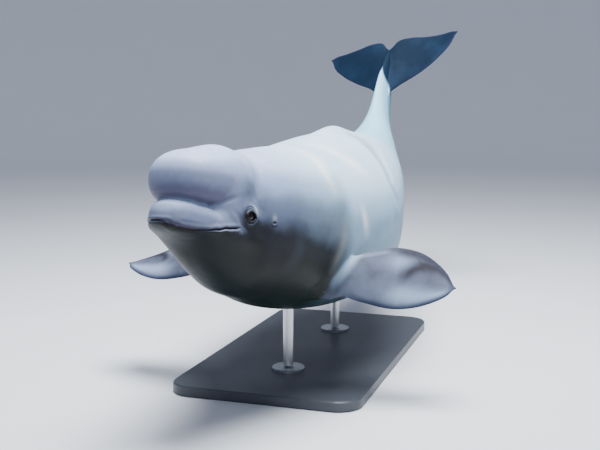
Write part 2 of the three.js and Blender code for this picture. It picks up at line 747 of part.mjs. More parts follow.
const whale = new THREE.Group();
whale.position.set(0, SETBACK, HEIGHT);
whale.add(
  from('head', upperHead, paint.white),
  from('lower_jaw', lowerJaw, paint.grey),
  from('neck', neck, paint.white),
  from('torso', torso, paint.white),
  from('tail_stock', tail, paint.pale),
  from('flipper_left', rooted(flipper(FLIPPERS.left)), paint.grey),
  from('flipper_right', rooted(flipper(FLIPPERS.right)), paint.grey),
  from('fluke_left', rooted(fluke(FLUKES.left)), paint.slate),
  from('fluke_right', rooted(fluke(FLUKES.right)), paint.slate),
);
for (const [name, centre] of Object.entries(eyes)) {
  const ball = toGeometry(solid(new THREE.SphereGeometry(EYE.radius, 16, 10)));
  const mesh = named(`eye_${name}`, ball, paint.eye);
  mesh.position.copy(centre);
  whale.add(mesh);
}

const stand = new THREE.Group();
stand.add(
  from('stand_base', solid(roundedPlate(BASE)), paint.base),
  from('stand_rod_front', cutRod(ROD.front), paint.steel),
  from('stand_rod_rear', cutRod(ROD.rear), paint.steel),
);

const model = new THREE.Group();
model.add(whale, stand);

export default model;
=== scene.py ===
# %% [markdown]
# # A life-size beluga whale on a display stand
# This lesson dresses a model of a white whale. The whale's plain solids are already packed as a
# frame, so nothing here is moved or resized: every piece is made in the frame's own place and
# size. The frame is loaded first, because everything else is measured against it.

# %% Loading the frame
import json
import math

import bpy
import numpy as np
from mathutils import Matrix, Vector
from mathutils.kdtree import KDTree

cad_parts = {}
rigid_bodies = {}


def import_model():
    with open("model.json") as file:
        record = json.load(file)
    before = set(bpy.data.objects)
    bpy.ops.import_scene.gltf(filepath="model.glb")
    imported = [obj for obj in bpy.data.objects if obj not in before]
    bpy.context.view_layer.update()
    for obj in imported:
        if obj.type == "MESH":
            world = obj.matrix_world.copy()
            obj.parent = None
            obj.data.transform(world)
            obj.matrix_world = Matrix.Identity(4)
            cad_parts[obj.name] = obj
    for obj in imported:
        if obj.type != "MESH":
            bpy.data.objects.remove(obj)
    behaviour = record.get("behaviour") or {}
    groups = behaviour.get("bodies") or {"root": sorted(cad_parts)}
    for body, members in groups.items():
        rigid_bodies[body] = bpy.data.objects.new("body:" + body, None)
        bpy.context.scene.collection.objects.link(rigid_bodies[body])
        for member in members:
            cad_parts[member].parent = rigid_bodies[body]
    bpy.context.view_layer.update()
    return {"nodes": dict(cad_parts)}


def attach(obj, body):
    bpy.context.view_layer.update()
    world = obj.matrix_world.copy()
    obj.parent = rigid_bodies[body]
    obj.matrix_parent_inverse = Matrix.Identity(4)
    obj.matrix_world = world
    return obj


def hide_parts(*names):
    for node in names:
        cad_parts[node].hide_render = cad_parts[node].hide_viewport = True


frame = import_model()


def to_millimetre(place):
    """The three numbers of a place in metres, rounded to a millimetre."""
    return [round(v, 3) for v in place]


# %% [markdown]
# ## The camera
# The whale is seen from ahead and a little above, from its left side. A camera could be aimed
# with a Track To constraint, but its place and its three directions are known, so they are
# written straight into its matrix. The lens is in millimetres on a sensor 36 mm wide.

# %% The camera
LENS = 57.745
SENSOR_WIDTH = 36
FARTHEST_SEEN = 200
CAMERA_PLACE = (1.4777, -4.7743, 1.4088)
CAMERA_TURN = math.radians(18)
CAMERA_LIFT = math.radians(8)


def aimed_camera():
    """A camera ahead of the whale, that looks back at it from its left and slightly above."""
    camera = bpy.data.objects.new("camera", bpy.data.cameras.new("camera"))
    camera.data.lens = LENS
    camera.data.sensor_width = SENSOR_WIDTH
    camera.data.clip_end = FARTHEST_SEEN
    behind = Vector((
        math.sin(CAMERA_TURN) * math.cos(CAMERA_LIFT),
        -math.cos(CAMERA_TURN) * math.cos(CAMERA_LIFT),
        math.sin(CAMERA_LIFT),
    ))
    right = Vector((math.cos(CAMERA_TURN), math.sin(CAMERA_TURN), 0))
    turned = Matrix((right, behind.cross(right), behind)).transposed()
    camera.matrix_world = Matrix.Translation(CAMERA_PLACE) @ turned.to_4x4()
    bpy.context.scene.collection.objects.link(camera)
    bpy.context.scene.camera = camera
    return camera


camera = aimed_camera()
print("camera stands", round(camera.location.z, 2), "m above the floor")

# %% [markdown]
# ## Curves through a table
# A whale has no straight line, so its sizes are kept as short tables: a place along the body and
# the sizes there. Blender's curve objects could hold them, but a formula gives any point at any
# fineness. Here the drawing is in millimetres, and it turns into metres when a mesh is made.

# %% Curves through a table
MM = 0.001


def along(table, x):
    """A smooth curve through the rows of a table, level at both ends."""
    x = np.asarray(x, float)
    knots, values = table[:, 0], table[:, 1:]
    gap = np.diff(knots)[:, None]
    rise = np.diff(values, axis=0) / gap
    slope = np.zeros_like(values)
    slope[1:-1] = (rise[:-1] * gap[1:] + rise[1:] * gap[:-1]) / (gap[1:] + gap[:-1])
    i = np.clip(np.searchsorted(knots, x, side="right") - 1, 0, len(knots) - 2)
    step = (knots[i + 1] - knots[i])[..., None]
    t = np.clip((x - knots[i])[..., None] / step, 0, 1)
    start = (2 * t**3 - 3 * t**2 + 1) * values[i] + (t**3 - 2 * t**2 + t) * step * slope[i]
    end = (3 * t**2 - 2 * t**3) * values[i + 1] + (t**3 - t**2) * step * slope[i + 1]
    return start + end


def ease(low, high, x):
    """From 0 at low to 1 at high, level at both."""
    t = np.clip((x - low) / (high - low), 0, 1)
    return t * t * (3 - 2 * t)


def bump(x, width):
    """A soft hump, 1 at the middle."""
    return np.exp(-((x / width) ** 2))


# %% [markdown]
# ## The bent spine
# The whale swims with its head low and its tail lifted. It is drawn stretched out straight, where
# s runs back from the snout, y to its left and z up, and is then bent along its spine. An
# armature could do that, but a formula bends every piece alike and can also be run backwards.

# %% The bent spine
SHOULDER = 850
PLACE_OF_SHOULDER = np.array([0.0, -700.0, 800.0])
SPINE_STEP = 2.0
# distance from the snout, heading to the right, climb and bank, in degrees
SPINE = np.array([
    (0, 11.2, -16.6, -3.0),
    (350, 11.2, -16.6, -3.0),
    (850, 4.3, -8.4, 1.2),
    (1600, 0.2, 4.2, 1.2),
    (2400, -3.6, 6.5, 1.8),
    (3100, -4.3, 28.2, 1.8),
    (3600, -1.4, 57.2, -16.3),
    (4100, -1.4, 57.2, -16.3),
])


def drawn_spine():
    """Places and directions along the spine, one row for each step."""
    s = np.arange(0, SPINE[-1, 0] + SPINE_STEP, SPINE_STEP)
    heading, climb, bank = np.radians(along(SPINE, s)).T
    aside, ahead = np.sin(heading), np.cos(heading)
    flat, steep = np.cos(climb), np.sin(climb)
    back = np.stack([aside * flat, ahead * flat, steep], 1)
    level = np.stack([-aside * steep, -ahead * steep, flat], 1)
    across = np.cross(back, level)
    turn, tilt = np.cos(bank)[:, None], np.sin(bank)[:, None]
    place = np.zeros_like(back)
    place[1:] = np.cumsum((back[1:] + back[:-1]) * SPINE_STEP / 2, axis=0)
    place += PLACE_OF_SHOULDER - place[int(SHOULDER / SPINE_STEP)]
    left, up = across * turn - level * tilt, level * turn + across * tilt
    return {"place": place, "back": back, "left": left, "up": up}


spine = drawn_spine()


def spine_at(s):
    """The spine's place and directions at each s."""
    last = len(spine["place"]) - 2
    held = np.clip(s, 0, SPINE[-1, 0])
    i = np.minimum((held / SPINE_STEP).astype(int), last)
    t = (held / SPINE_STEP - i)[..., None]
    found = {name: rows[i] * (1 - t) + rows[i + 1] * t for name, rows in spine.items()}
    found["place"] = found["place"] + found["back"] * (np.asarray(s) - held)[..., None]
    return found


def bend(points):
    """Points from the straight drawing to their places on the swimming whale, in millimetres."""
    at = spine_at(points[..., 0])
    return at["place"] + at["left"] * points[..., 1:2] + at["up"] * points[..., 2:3]


# the way back starts at the nearest of the spine's coarse places and then slides along the spine
COARSE = 25
BATCH = 20000
SLIDES = 12
SLIDE_SHARE = 0.8


def unbend(points):
    """The way back, from places on the swimming whale to the straight drawing."""
    coarse = spine["place"][::COARSE]
    s = np.empty(len(points))
    for first in range(0, len(points), BATCH):
        part = slice(first, first + BATCH)
        away = ((points[part, None, :] - coarse[None]) ** 2).sum(-1)
        s[part] = away.argmin(1) * COARSE * SPINE_STEP
    for _ in range(SLIDES):
        at = spine_at(s)
        s = s + SLIDE_SHARE * ((points - at["place"]) * at["back"]).sum(1)
    at = spine_at(s)
    off = points - at["place"]
    return np.stack([s, (off * at["left"]).sum(1), (off * at["up"]).sum(1)], 1)


print("snout at", np.round(bend(np.array([[0.0, 0, 0]]))[0] * MM, 3))

# %% [markdown]
# ## The form of the head and the trunk
# Behind the neck the body is a row of rounded sections. The head is a cluster of eggs and pads: a
# melon, a brow, cheeks, a throat and two lips. Metaballs would melt them together, but a distance
# to each form, blended with its neighbours, keeps the creases where they belong.

# %% The form of the head and the trunk
# s, height above and below the spine, half width, squareness
TRUNK = np.array([
    (300, 205, 176, 165, 2.0),
    (500, 290, 285, 250, 2.1),
    (750, 343, 357, 330, 2.2),
    (1100, 378, 401, 386, 2.25),
    (1550, 400, 401, 430, 2.1),
    (2050, 356, 357, 357, 2.1),
    (2550, 292, 292, 266, 2.1),
    (3050, 195, 200, 158, 1.9),
    (3450, 128, 125, 60, 1.8),
    (3700, 88, 85, 34, 1.8),
    (3880, 40, 40, 30, 1.9),
    (3965, 12, 12, 12, 2.0),
])
# the belly and the low flanks are squarer by this much
FULL_BELLY = np.array([(750, 0), (1550, 0.8), (2050, 0.4), (2550, 0)])
# the first section is closed by a dome that reaches farther ahead on its lower side
FRONT_REACH = {"above": 155, "below": 191, "from": 20, "to": 120}
# a white whale has a low ridge on its back where others have a fin
RIDGE = {"start": 1310, "end": 2320, "height": 38, "spread": 55}
MELON = {"centre": (201, 0, 99), "half": (182, 166, 128), "tilt": 7, "round": 2.25}
BROW = {"centre": (320, 0, 112), "half": (160, 160, 156), "tilt": 0, "round": 2}
CHEEK = {"centre": (335, 85, -60), "half": (150, 94, 105), "tilt": 0, "round": 2}
THROAT = {"centre": (436, 0, -169), "half": (202, 150, 115), "tilt": -15, "round": 2}
EYE_SWELL = {"centre": (352, 150, -14), "half": (60, 47, 42), "tilt": 0, "round": 2}
LOWER_LIP = {"centre": (238, 0, -110), "half": (170, 124, 30), "square": (2.2, 2.0)}
# the thick band of the upper lip: its plan, its floor, and where between floor and top it is widest
UPPER_LIP = {
    "centre": 236, "half": (222, 158), "square": (1.95, 2.8),
    "floor": -130, "widest": 0.4, "scale": 60,
}
LIP_END = {"start": 250, "over": 54}
# the height of the band's top along s
LIP_TOP = np.array([
    (0, 0), (30, 24), (60, 25), (128, 13), (177, 2), (217, -11), (244, -28), (268, -46),
])
# how widely each form melts into the ones before it
MELT = {"brow": 60, "cheek": 60, "throat": 110, "eye": 30, "lower_lip": 50, "upper_lip": 16}
# the valley between the melon and the lip is narrow at the front and widens up to the brow
VALLEY = {"narrow": 14, "more": 80, "from": 150, "to": 320}
# a place inside the head that sees all of its surface, and where the head's forms have ended
HEART_S = 300
HEART_Z = -85
HEAD_JOIN = 700
HALVINGS = 24


def blend(a, b, width):
    """The smaller of two distances, melted together over a width."""
    h = np.maximum(width - np.abs(a - b), 0) / width
    return np.minimum(a, b) - h * h * width * 0.25


def to_egg(p, egg):
    """How far points lie outside an egg."""
    a, n = math.radians(egg["tilt"]), egg["round"]
    off = p - np.array(egg["centre"], float)
    half = np.array(egg["half"], float)
    q = np.abs(np.stack([
        off[..., 0] * math.cos(a) + off[..., 2] * math.sin(a),
        off[..., 1],
        off[..., 2] * math.cos(a) - off[..., 0] * math.sin(a),
    ], -1)) / half
    near = np.maximum((q**n).sum(-1) ** (1 / n), 1e-6)
    steep = np.sqrt(((q ** (n - 1) / half) ** 2).sum(-1)) / near ** (n - 1)
    return (near - 1) / np.maximum(steep, 1e-6)


def to_lower_lip(p):
    """How far points lie outside the lower lip, a flat pad with a rounded plan."""
    plan, side = LOWER_LIP["square"]
    off = np.abs(p - np.array(LOWER_LIP["centre"], float)) / np.array(LOWER_LIP["half"], float)
    flat = (off[..., 0] ** plan + off[..., 1] ** plan) ** (side / plan)
    return ((flat + off[..., 2] ** side) ** (1 / side) - 1) * min(LOWER_LIP["half"])


def to_upper_lip(p):
    """How far points lie outside the band of the upper lip."""
    s, y, z = p[..., 0], p[..., 1], p[..., 2]
    plan, side = UPPER_LIP["square"]
    top = along(LIP_TOP, s)[..., 0]
    middle = UPPER_LIP["floor"] + (top - UPPER_LIP["floor"]) * UPPER_LIP["widest"]
    high = np.where(z > middle, top - middle, middle - UPPER_LIP["floor"])
    ahead = np.maximum(UPPER_LIP["centre"] - s, 0) / UPPER_LIP["half"][0]
    behind = np.maximum(s - LIP_END["start"], 0) / LIP_END["over"]
    aside = np.abs(y) / UPPER_LIP["half"][1]
    flat = (ahead**plan + aside**plan + behind**plan) ** (side / plan)
    return ((flat + (np.abs(z - middle) / high) ** side) ** (1 / side) - 1) * UPPER_LIP["scale"]


def to_forehead(p):
    """How far points lie outside the melon and the brow."""
    return blend(to_egg(p, MELON), to_egg(p, BROW), MELT["brow"])


def to_face(p):
    """How far points lie outside everything below the forehead."""
    s, y, z = p[..., 0], p[..., 1], p[..., 2]
    top, bottom, half, n = np.moveaxis(along(TRUNK, np.maximum(s, TRUNK[0, 0])), -1, 0)
    high = np.where(z > 0, top, bottom)
    above, below = FRONT_REACH["above"], FRONT_REACH["below"]
    reach = above + (below - above) * ease(FRONT_REACH["from"], FRONT_REACH["to"], -z)
    ahead = np.maximum(TRUNK[0, 0] - s, 0) / reach
    rho = ((np.abs(y) / half) ** n + (np.abs(z) / high) ** n + ahead**n) ** (1 / n)
    d = (rho - 1) * np.minimum(half, high)
    both = np.stack([s, np.abs(y), z], -1)
    d = blend(d, to_egg(both, CHEEK), MELT["cheek"])
    d = blend(d, to_egg(p, THROAT), MELT["throat"])
    d = blend(d, to_egg(both, EYE_SWELL), MELT["eye"])
    d = blend(to_lower_lip(p), d, MELT["lower_lip"])
    return blend(to_upper_lip(p), d, MELT["upper_lip"])


def to_head(p):
    """How far points lie outside the head and the front of the trunk, negative inside."""
    width = VALLEY["narrow"] + VALLEY["more"] * ease(VALLEY["from"], VALLEY["to"], p[..., 0])
    return blend(to_forehead(p), to_face(p), width)


def leave(start, way, reach):
    """Where rays from inside leave the head, found by halving their reach again and again."""
    start, way = np.broadcast_arrays(np.asarray(start, float), np.asarray(way, float))
    inside = np.zeros(start.shape[:-1])
    outside = np.full(start.shape[:-1], float(reach))
    for _ in range(HALVINGS):
        middle = (inside + outside) / 2
        within = to_head(start + way * middle[..., None]) < 0
        inside = np.where(within, middle, inside)
        outside = np.where(within, outside, middle)
    return start + way * inside[..., None]


# %% [markdown]
# ## The grid of the skin
# The skin is one closed surface of rings from the snout to the tail. A subdivision surface over a
# coarse cage would be quicker to sculpt by hand, but rings that follow the formula can be packed
# closely where there is something to see, along the mouth, at the ears and round the blowhole.

# %% The grid of the skin
# an angle up from the whale's side, and the spacing of the columns there, in degrees
COLUMN_PACE = np.array([
    (-90, 1.8), (-30, 1.5), (-19, 0.42), (12, 0.5), (24, 0.7), (48, 0.9), (74, 1.6), (83, 0.45),
    (90, 0.45),
])
# an angle back from the snout, and the spacing of the rings there, in degrees
CAP_PACE = np.array([(0, 0.3), (6, 0.3), (16, 0.5), (90, 0.55)])
# a place along the body, and the spacing of the rings there, in millimetres
RING_PACE = np.array([
    (300, 3.4), (335, 2.6), (400, 2.6), (470, 3.0), (560, 6.0), (1150, 6.5), (1300, 13),
    (3300, 13), (3600, 7), (3965, 5),
])
# how far the rounded end of the tail stock reaches past its last section
TAIL_TIP = 10


def paced(table):
    """Steps from one end of a table to the other, with the spacing that it gives."""
    x, last = table[0, 0], table[-1, 0]
    steps = [x]
    while x < last:
        x += along(table, x)[0]
        steps.append(x)
    steps = np.array(steps)
    return table[0, 0] + (steps - table[0, 0]) * (last - table[0, 0]) / (steps[-1] - table[0, 0])


side_angles = np.radians(paced(COLUMN_PACE))
angles = np.concatenate([side_angles, np.pi - side_angles[-2:0:-1]])
COLUMNS = len(angles)
ACROSS = np.stack([np.zeros(COLUMNS), np.cos(angles), np.sin(angles)], -1)


def cap_rings():
    """Rings round the snout, cast from the heart of the head."""
    t = np.radians(paced(CAP_PACE))[1:-1, None, None]
    way = np.array([-1.0, 0, 0]) * np.cos(t) + ACROSS[None] * np.sin(t)
    return leave((HEART_S, 0, HEART_Z), way, reach=700)


def head_rings(s):
    """Rings across the head and the neck, cast from a line that rises to the spine."""
    start = np.zeros((len(s), 1, 3))
    start[..., 0] = s[:, None]
    start[..., 2] = HEART_Z * (1 - ease(HEART_S, HEAD_JOIN, s[:, None]))
    return leave(start, ACROSS[None], reach=900)


def trunk_rings(s):
    """Rings across the trunk and the tail."""
    top, bottom, half, square = (v[:, None] for v in along(TRUNK, s).T)
    c, v = np.cos(angles)[None], np.sin(angles)[None]
    n = np.where(v > 0, square, square + along(FULL_BELLY, s))
    r = ((np.abs(c) / half) ** n + (np.abs(v) / np.where(v > 0, top, bottom)) ** n) ** (-1 / n)
    share = np.clip((s[:, None] - RIDGE["start"]) / (RIDGE["end"] - RIDGE["start"]), 0, 1)
    crest = np.sin(np.pi * share) ** 2 * bump(r * c, RIDGE["spread"])
    lift = np.where(v > 0, RIDGE["height"] * crest, 0)
    return np.stack([np.repeat(s[:, None], COLUMNS, 1), r * c, r * v + lift], -1)


def tail_tip_rings():
    """The rounded end of the tail stock, hidden between the flukes."""
    t = np.radians(np.array([30, 60, 80]))[:, None]
    radius = TRUNK[-1, 1] * np.cos(t)
    s = np.repeat(TRUNK[-1, 0] + TAIL_TIP * np.sin(t), COLUMNS, 1)
    return np.stack([s, radius * np.cos(angles), radius * np.sin(angles)], -1)


stations = paced(RING_PACE)
in_head = stations <= HEAD_JOIN
skin_grid = np.concatenate([
    cap_rings(), head_rings(stations[in_head]), trunk_rings(stations[~in_head]), tail_tip_rings(),
])
print("skin grid:", skin_grid.shape[0], "rings of", COLUMNS, "points")

# %% [markdown]
# ## Lips, folds, ears and blowhole
# The small forms stand on the smooth head as low relief. Sculpt brushes would do it by eye. Here
# each form is a height over the skin, worked out from a point's distance to a line, so it can be
# as fine as the grid and lies alike on both sides.

# %% The line of the mouth and the lips
MOUTH = np.array([
    (0, -90), (16, -91), (32, -101), (54, -110), (88, -112), (134, -107), (175, -97), (221, -84),
    (267, -77),
])
# the lips are a little fuller on the right, so the line lies higher there
MOUTH_RIGHT = np.array([
    (0, -90), (30, -88), (59, -86), (100, -94), (150, -97), (200, -89), (267, -77),
])
# between these places across the snout, the right line turns into the left one
MOUTH_SWAP = (-30, 25)
MOUTH_CORNER = 267
# round the corner the line fades, and it climbs on behind
MOUTH_FADE = {"before": 14, "after": 30, "climb": 0.3}
LIP_GROOVE = {"depth": 9.0, "width": 3.8}
LIP_ROLL = {"height": 2.2, "width": 8, "off": 11, "lower": 0.8}


def mouth_height(p):
    """The height of the line of the mouth beside each point."""
    left = ease(*MOUTH_SWAP, p[..., 1])
    on_left, on_right = (along(line, p[..., 0])[..., 0] for line in (MOUTH, MOUTH_RIGHT))
    return on_left * left + on_right * (1 - left)


def mouth_offset(p):
    """The height of points above the line of the mouth, and how much of the line is left there."""
    past = np.maximum(p[..., 0] - MOUTH_CORNER, 0)
    rise = p[..., 2] - mouth_height(p) - past * MOUTH_FADE["climb"]
    first, last = MOUTH_CORNER - MOUTH_FADE["before"], MOUTH_CORNER + MOUTH_FADE["after"]
    return rise, 1 - ease(first, last, p[..., 0])


def mouth_relief(p):
    """A groove between two soft rolls."""
    rise, held = mouth_offset(p)
    upper = bump(rise - LIP_ROLL["off"], LIP_ROLL["width"])
    lower = LIP_ROLL["lower"] * bump(rise + LIP_ROLL["off"], LIP_ROLL["width"])
    groove = LIP_GROOVE["depth"] * bump(rise, LIP_GROOVE["width"])
    return held * (LIP_ROLL["height"] * (upper + lower) - groove)


# %% The crease under the melon
MELON_CREASE = {"depth": 5.0, "width": 9, "from": 190, "to": 300}


def crease_offset(p):
    """How far points lie from the valley under the melon, and how much of it is left there."""
    away = to_forehead(p) - to_face(p)
    return away, 1 - ease(MELON_CREASE["from"], MELON_CREASE["to"], p[..., 0])


def crease_relief(p):
    """A valley that fades out in front of the eye."""
    away, held = crease_offset(p)
    return -MELON_CREASE["depth"] * held * bump(away, MELON_CREASE["width"])


# %% The blowhole and the ears
BLOWHOLE = {"s": 388, "radius": 34, "sweep": 112, "fade": (12, 6), "depth": 8, "width": 3.6}
# the height, the distance outward from the slit and the width of its two rims
BLOWHOLE_RIMS = [(2.2, 8, 5), (3.0, -8, 6)]
BLOWHOLE_MOUND = {"height": 5, "behind": 22, "width": 62}
# only the top of the head, above this height, has the blowhole
CROWN = 60
EAR = {"s": 463, "z": -19, "hole": 3.6, "depth": 3.5, "rim": 9, "rim_height": 0.5, "rim_width": 5}


def blowhole_relief(p):
    """A crescent slit, open to the front, on a low mound."""
    centre = BLOWHOLE["s"] - BLOWHOLE["radius"]
    off, y = p[..., 0] - centre, p[..., 1]
    ring = np.hypot(off, y) - BLOWHOLE["radius"]
    turn = np.degrees(np.abs(np.arctan2(y, off)))
    half, (before, after) = BLOWHOLE["sweep"] / 2, BLOWHOLE["fade"]
    crown = p[..., 2] > CROWN
    held = (1 - ease(half - before, half + after, turn)) * crown
    slit = -BLOWHOLE["depth"] * bump(ring, BLOWHOLE["width"])
    rims = sum(height * bump(ring - outward, width) for height, outward, width in BLOWHOLE_RIMS)
    away = np.hypot(off - BLOWHOLE_MOUND["behind"], y)
    mound = BLOWHOLE_MOUND["height"] * bump(away, BLOWHOLE_MOUND["width"]) * crown
    return held * (slit + rims) + mound


def ear_distance(p):
    """How far points lie from the ear's pin-hole."""
    return np.hypot(p[..., 0] - EAR["s"], p[..., 2] - EAR["z"])


def ear_relief(p):
    """A pin-hole in a faint ring."""
    away = ear_distance(p)
    rim = EAR["rim_height"] * bump(away - EAR["rim"], EAR["rim_width"])
    return rim - EAR["depth"] * bump(away, EAR["hole"])


# %% [markdown]
# ## Folds of the neck and flanks
# A white whale can turn its head, so its neck is loose and creased, and fat lies in soft rolls
# along its flanks. Each fold is a short curve on the side of the body with a width and a depth,
# drawn as places back from the snout and up from the spine.

# %% Folds of the neck and flanks
# width and depth, then the places (s, z) that the fold passes
FOLDS = [
    {"width": 10, "depth": 1.6, "line": [
        (240, -4), (256, -14), (270, -26), (282, -44), (290, -64), (288, -84),
    ]},
    {"width": 26, "depth": 6, "line": [
        (400, 270), (412, 235), (402, 190), (390, 144), (380, 92), (362, 52),
    ]},
    {"width": 34, "depth": 1, "line": [(560, 60), (600, -40), (610, -130), (590, -220)]},
    {"width": 32, "depth": 9, "line": [
        (2010, 345), (1955, 350), (1838, 344), (1703, 318), (1620, 280), (1573, 227), (1536, 178),
        (1551, 115), (1599, 45),
    ]},
    {"width": 34, "depth": 5, "line": [(1250, -200), (1450, -240), (1700, -230), (1900, -190)]},
]
# each fold fades toward its ends and has a low roll beside it
FOLD_FADE = 0.7
FOLD_ROLL = {"height": 0.35, "off": 1.9}
# how many widths away a fold is still worked out
FOLD_REACH = 4
# the small forms of the head end before this place
HEAD_END = 560
# how many points a short line is rounded to
LINE_POINTS = 24


def line_distance(p, line):
    """How far points lie from a line of places (s, z), and how far along it, from 0 to 1."""
    at = np.stack([p[..., 0], p[..., 2]], -1)
    line = np.array(line, float)
    run = np.diff(line, axis=0)
    lengths = np.hypot(run[:, 0], run[:, 1])
    starts = np.concatenate([[0], np.cumsum(lengths)])
    best = np.full(at.shape[:-1], 1e9)
    share = np.zeros(at.shape[:-1])
    for a, b, length, begin in zip(line[:-1], run, lengths, starts):
        t = np.clip(((at - a) @ b) / length**2, 0, 1)
        away = np.hypot(at[..., 0] - a[0] - t * b[0], at[..., 1] - a[1] - t * b[1])
        share = np.where(away < best, (begin + t * length) / starts[-1], share)
        best = np.minimum(best, away)
    return best, share


def smooth_line(line):
    """The same line through more points, rounded like a drawn curve."""
    table = np.column_stack([np.arange(len(line)), np.array(line, float)])
    return along(table, np.linspace(0, len(line) - 1, LINE_POINTS))


def beside(p, line, reach):
    """Which points lie in the box round a line, so that the others needn't be measured."""
    low, high = np.min(line, 0) - reach, np.max(line, 0) + reach
    at = np.stack([p[..., 0], p[..., 2]], -1)
    return ((at > low) & (at < high)).all(-1)


def fold_relief(p):
    """All the folds together, each with a low roll beside it."""
    height = np.zeros(p.shape[:-1])
    for fold in FOLDS:
        width = fold["width"]
        near = beside(p, fold["line"], FOLD_REACH * width)
        away, share = line_distance(p[near], smooth_line(fold["line"]))
        held = np.sin(np.pi * np.clip(share, 0.0, 1.0)) ** FOLD_FADE
        roll = FOLD_ROLL["height"] * bump(away - FOLD_ROLL["off"] * width, width)
        height[near] -= fold["depth"] * held * (bump(away, width) - roll)
    return height


def relief(p):
    """The height of every small form over the smooth body."""
    height = fold_relief(p)
    head = p[..., 0] < HEAD_END
    near = p[head]
    height[head] += (
        mouth_relief(near) + crease_relief(near) + blowhole_relief(near) + ear_relief(near)
    )
    return height


def grid_normals(grid):
    """The way each point of a ring-by-ring grid faces."""
    to_the_rear = np.gradient(grid, axis=0)
    round_the_ring = (np.roll(grid, -1, 1) - np.roll(grid, 1, 1)) / 2
    facing = np.cross(to_the_rear, round_the_ring)
    facing /= np.maximum(np.linalg.norm(facing, axis=-1, keepdims=True), 1e-9)
    outward = (facing * (grid - grid.mean(1, keepdims=True))).sum()
    return facing if outward > 0 else -facing


raised = relief(skin_grid)
skin_points = skin_grid + grid_normals(skin_grid) * raised[..., None]
print("relief from", round(raised.min(), 1), "to", round(raised.max(), 1), "mm")

# %% [markdown]
# ## Lids and sockets
# A grid of rings can't turn in under a lid. So a window is left in the grid at each eye, and it
# is filled with rings of its own: they close in from the window's edge to an almond, roll over
# the lid and run back round the ball to the bottom of the socket. This is how a modeller lays out
# an eye.

# %% Lids and sockets
# the eye's place, the ball's radius and how far its front stands out of the smooth head
EYE = {"s": 338, "z": -15, "radius": 27, "proud": 1}
# the way the head faces there is felt over this distance to all sides
PROBE = 3.0
# half the width of the window in the grid, and half the width and height of the opening
EYE_WINDOW = 52
OPENING = (24, 17.5)
# each lid has a crest, then a fold, then a groove (the lower lid) or a roll (the upper lid)
LID_CREST = {"rise": 6, "top": 3.0, "foot": 15, "edge": 2.5}
LID_FOLD = {"off": 11, "depth": 2.2, "width": 2.6}
LID_GROOVE = {"off": 19, "depth": 1.6, "width": 3.0}
LID_ROLL = {"off": 19, "height": 2.0, "width": 6}
CORNER_CREASES = {"number": 26, "height": 0.7, "off": 10, "width": 7}
# rays for the lids start this far under the skin and run out through it
RAY_DEPTH = 60
# the lid's rings crowd toward the opening, and its forms grow in over the outer ones
LID_RINGS = 22
CROWDING = 1.6
GROWN_IN = 0.45
SOCKET_GAP = 0.5
SOCKET_RINGS = 12
SOCKET_END = math.radians(176)


def eye_place(side):
    """The skin's point at an eye, the directions back, up and out there, and the ball's centre."""
    start = np.array([EYE["s"], 0, EYE["z"]], float)
    point = leave(start, (0, side, 0), reach=600)
    steps = PROBE * np.eye(3)
    slope = np.array([float(to_head(point + step) - to_head(point - step)) for step in steps])
    out = slope / np.linalg.norm(slope)
    rear = np.array([1.0, 0, 0]) - out * out[0]
    rear /= np.linalg.norm(rear)
    up = np.cross(out, rear) * side
    centre = point + out * (EYE["proud"] - EYE["radius"])
    return {"point": point, "rear": rear, "up": up, "out": out, "centre": centre}


def almond(turn):
    """The edge of the eye's opening, narrowing to its corners."""
    pinch = 1 - 0.25 * np.abs(np.cos(turn)) ** 6
    return np.stack([OPENING[0] * np.cos(turn), OPENING[1] * np.sin(turn) * pinch], -1)


def lid_height(away, turn):
    """The lid's profile over the skin, by the distance from the opening."""
    upper = 0.5 + 0.5 * np.sin(turn)
    rise = LID_CREST["rise"] * (0.85 + 0.3 * upper)
    slope = 1 - ease(LID_CREST["top"], LID_CREST["foot"], away)
    crest = rise * slope * (0.72 + 0.28 * ease(0, LID_CREST["edge"], away))
    depth = LID_FOLD["depth"] + 1.2 * upper
    fold = depth * bump(away - LID_FOLD["off"] - 2 * upper, LID_FOLD["width"])
    groove = LID_GROOVE["depth"] * bump(away - LID_GROOVE["off"], LID_GROOVE["width"]) * (1 - upper)
    roll = LID_ROLL["height"] * bump(away - LID_ROLL["off"], LID_ROLL["width"]) * upper
    at_corner = np.abs(np.cos(turn)) ** 10 * np.cos(turn * CORNER_CREASES["number"])
    creases = at_corner * CORNER_CREASES["height"] * bump(
        away - CORNER_CREASES["off"], CORNER_CREASES["width"]
    )
    return crest - fold - groove + roll + creases


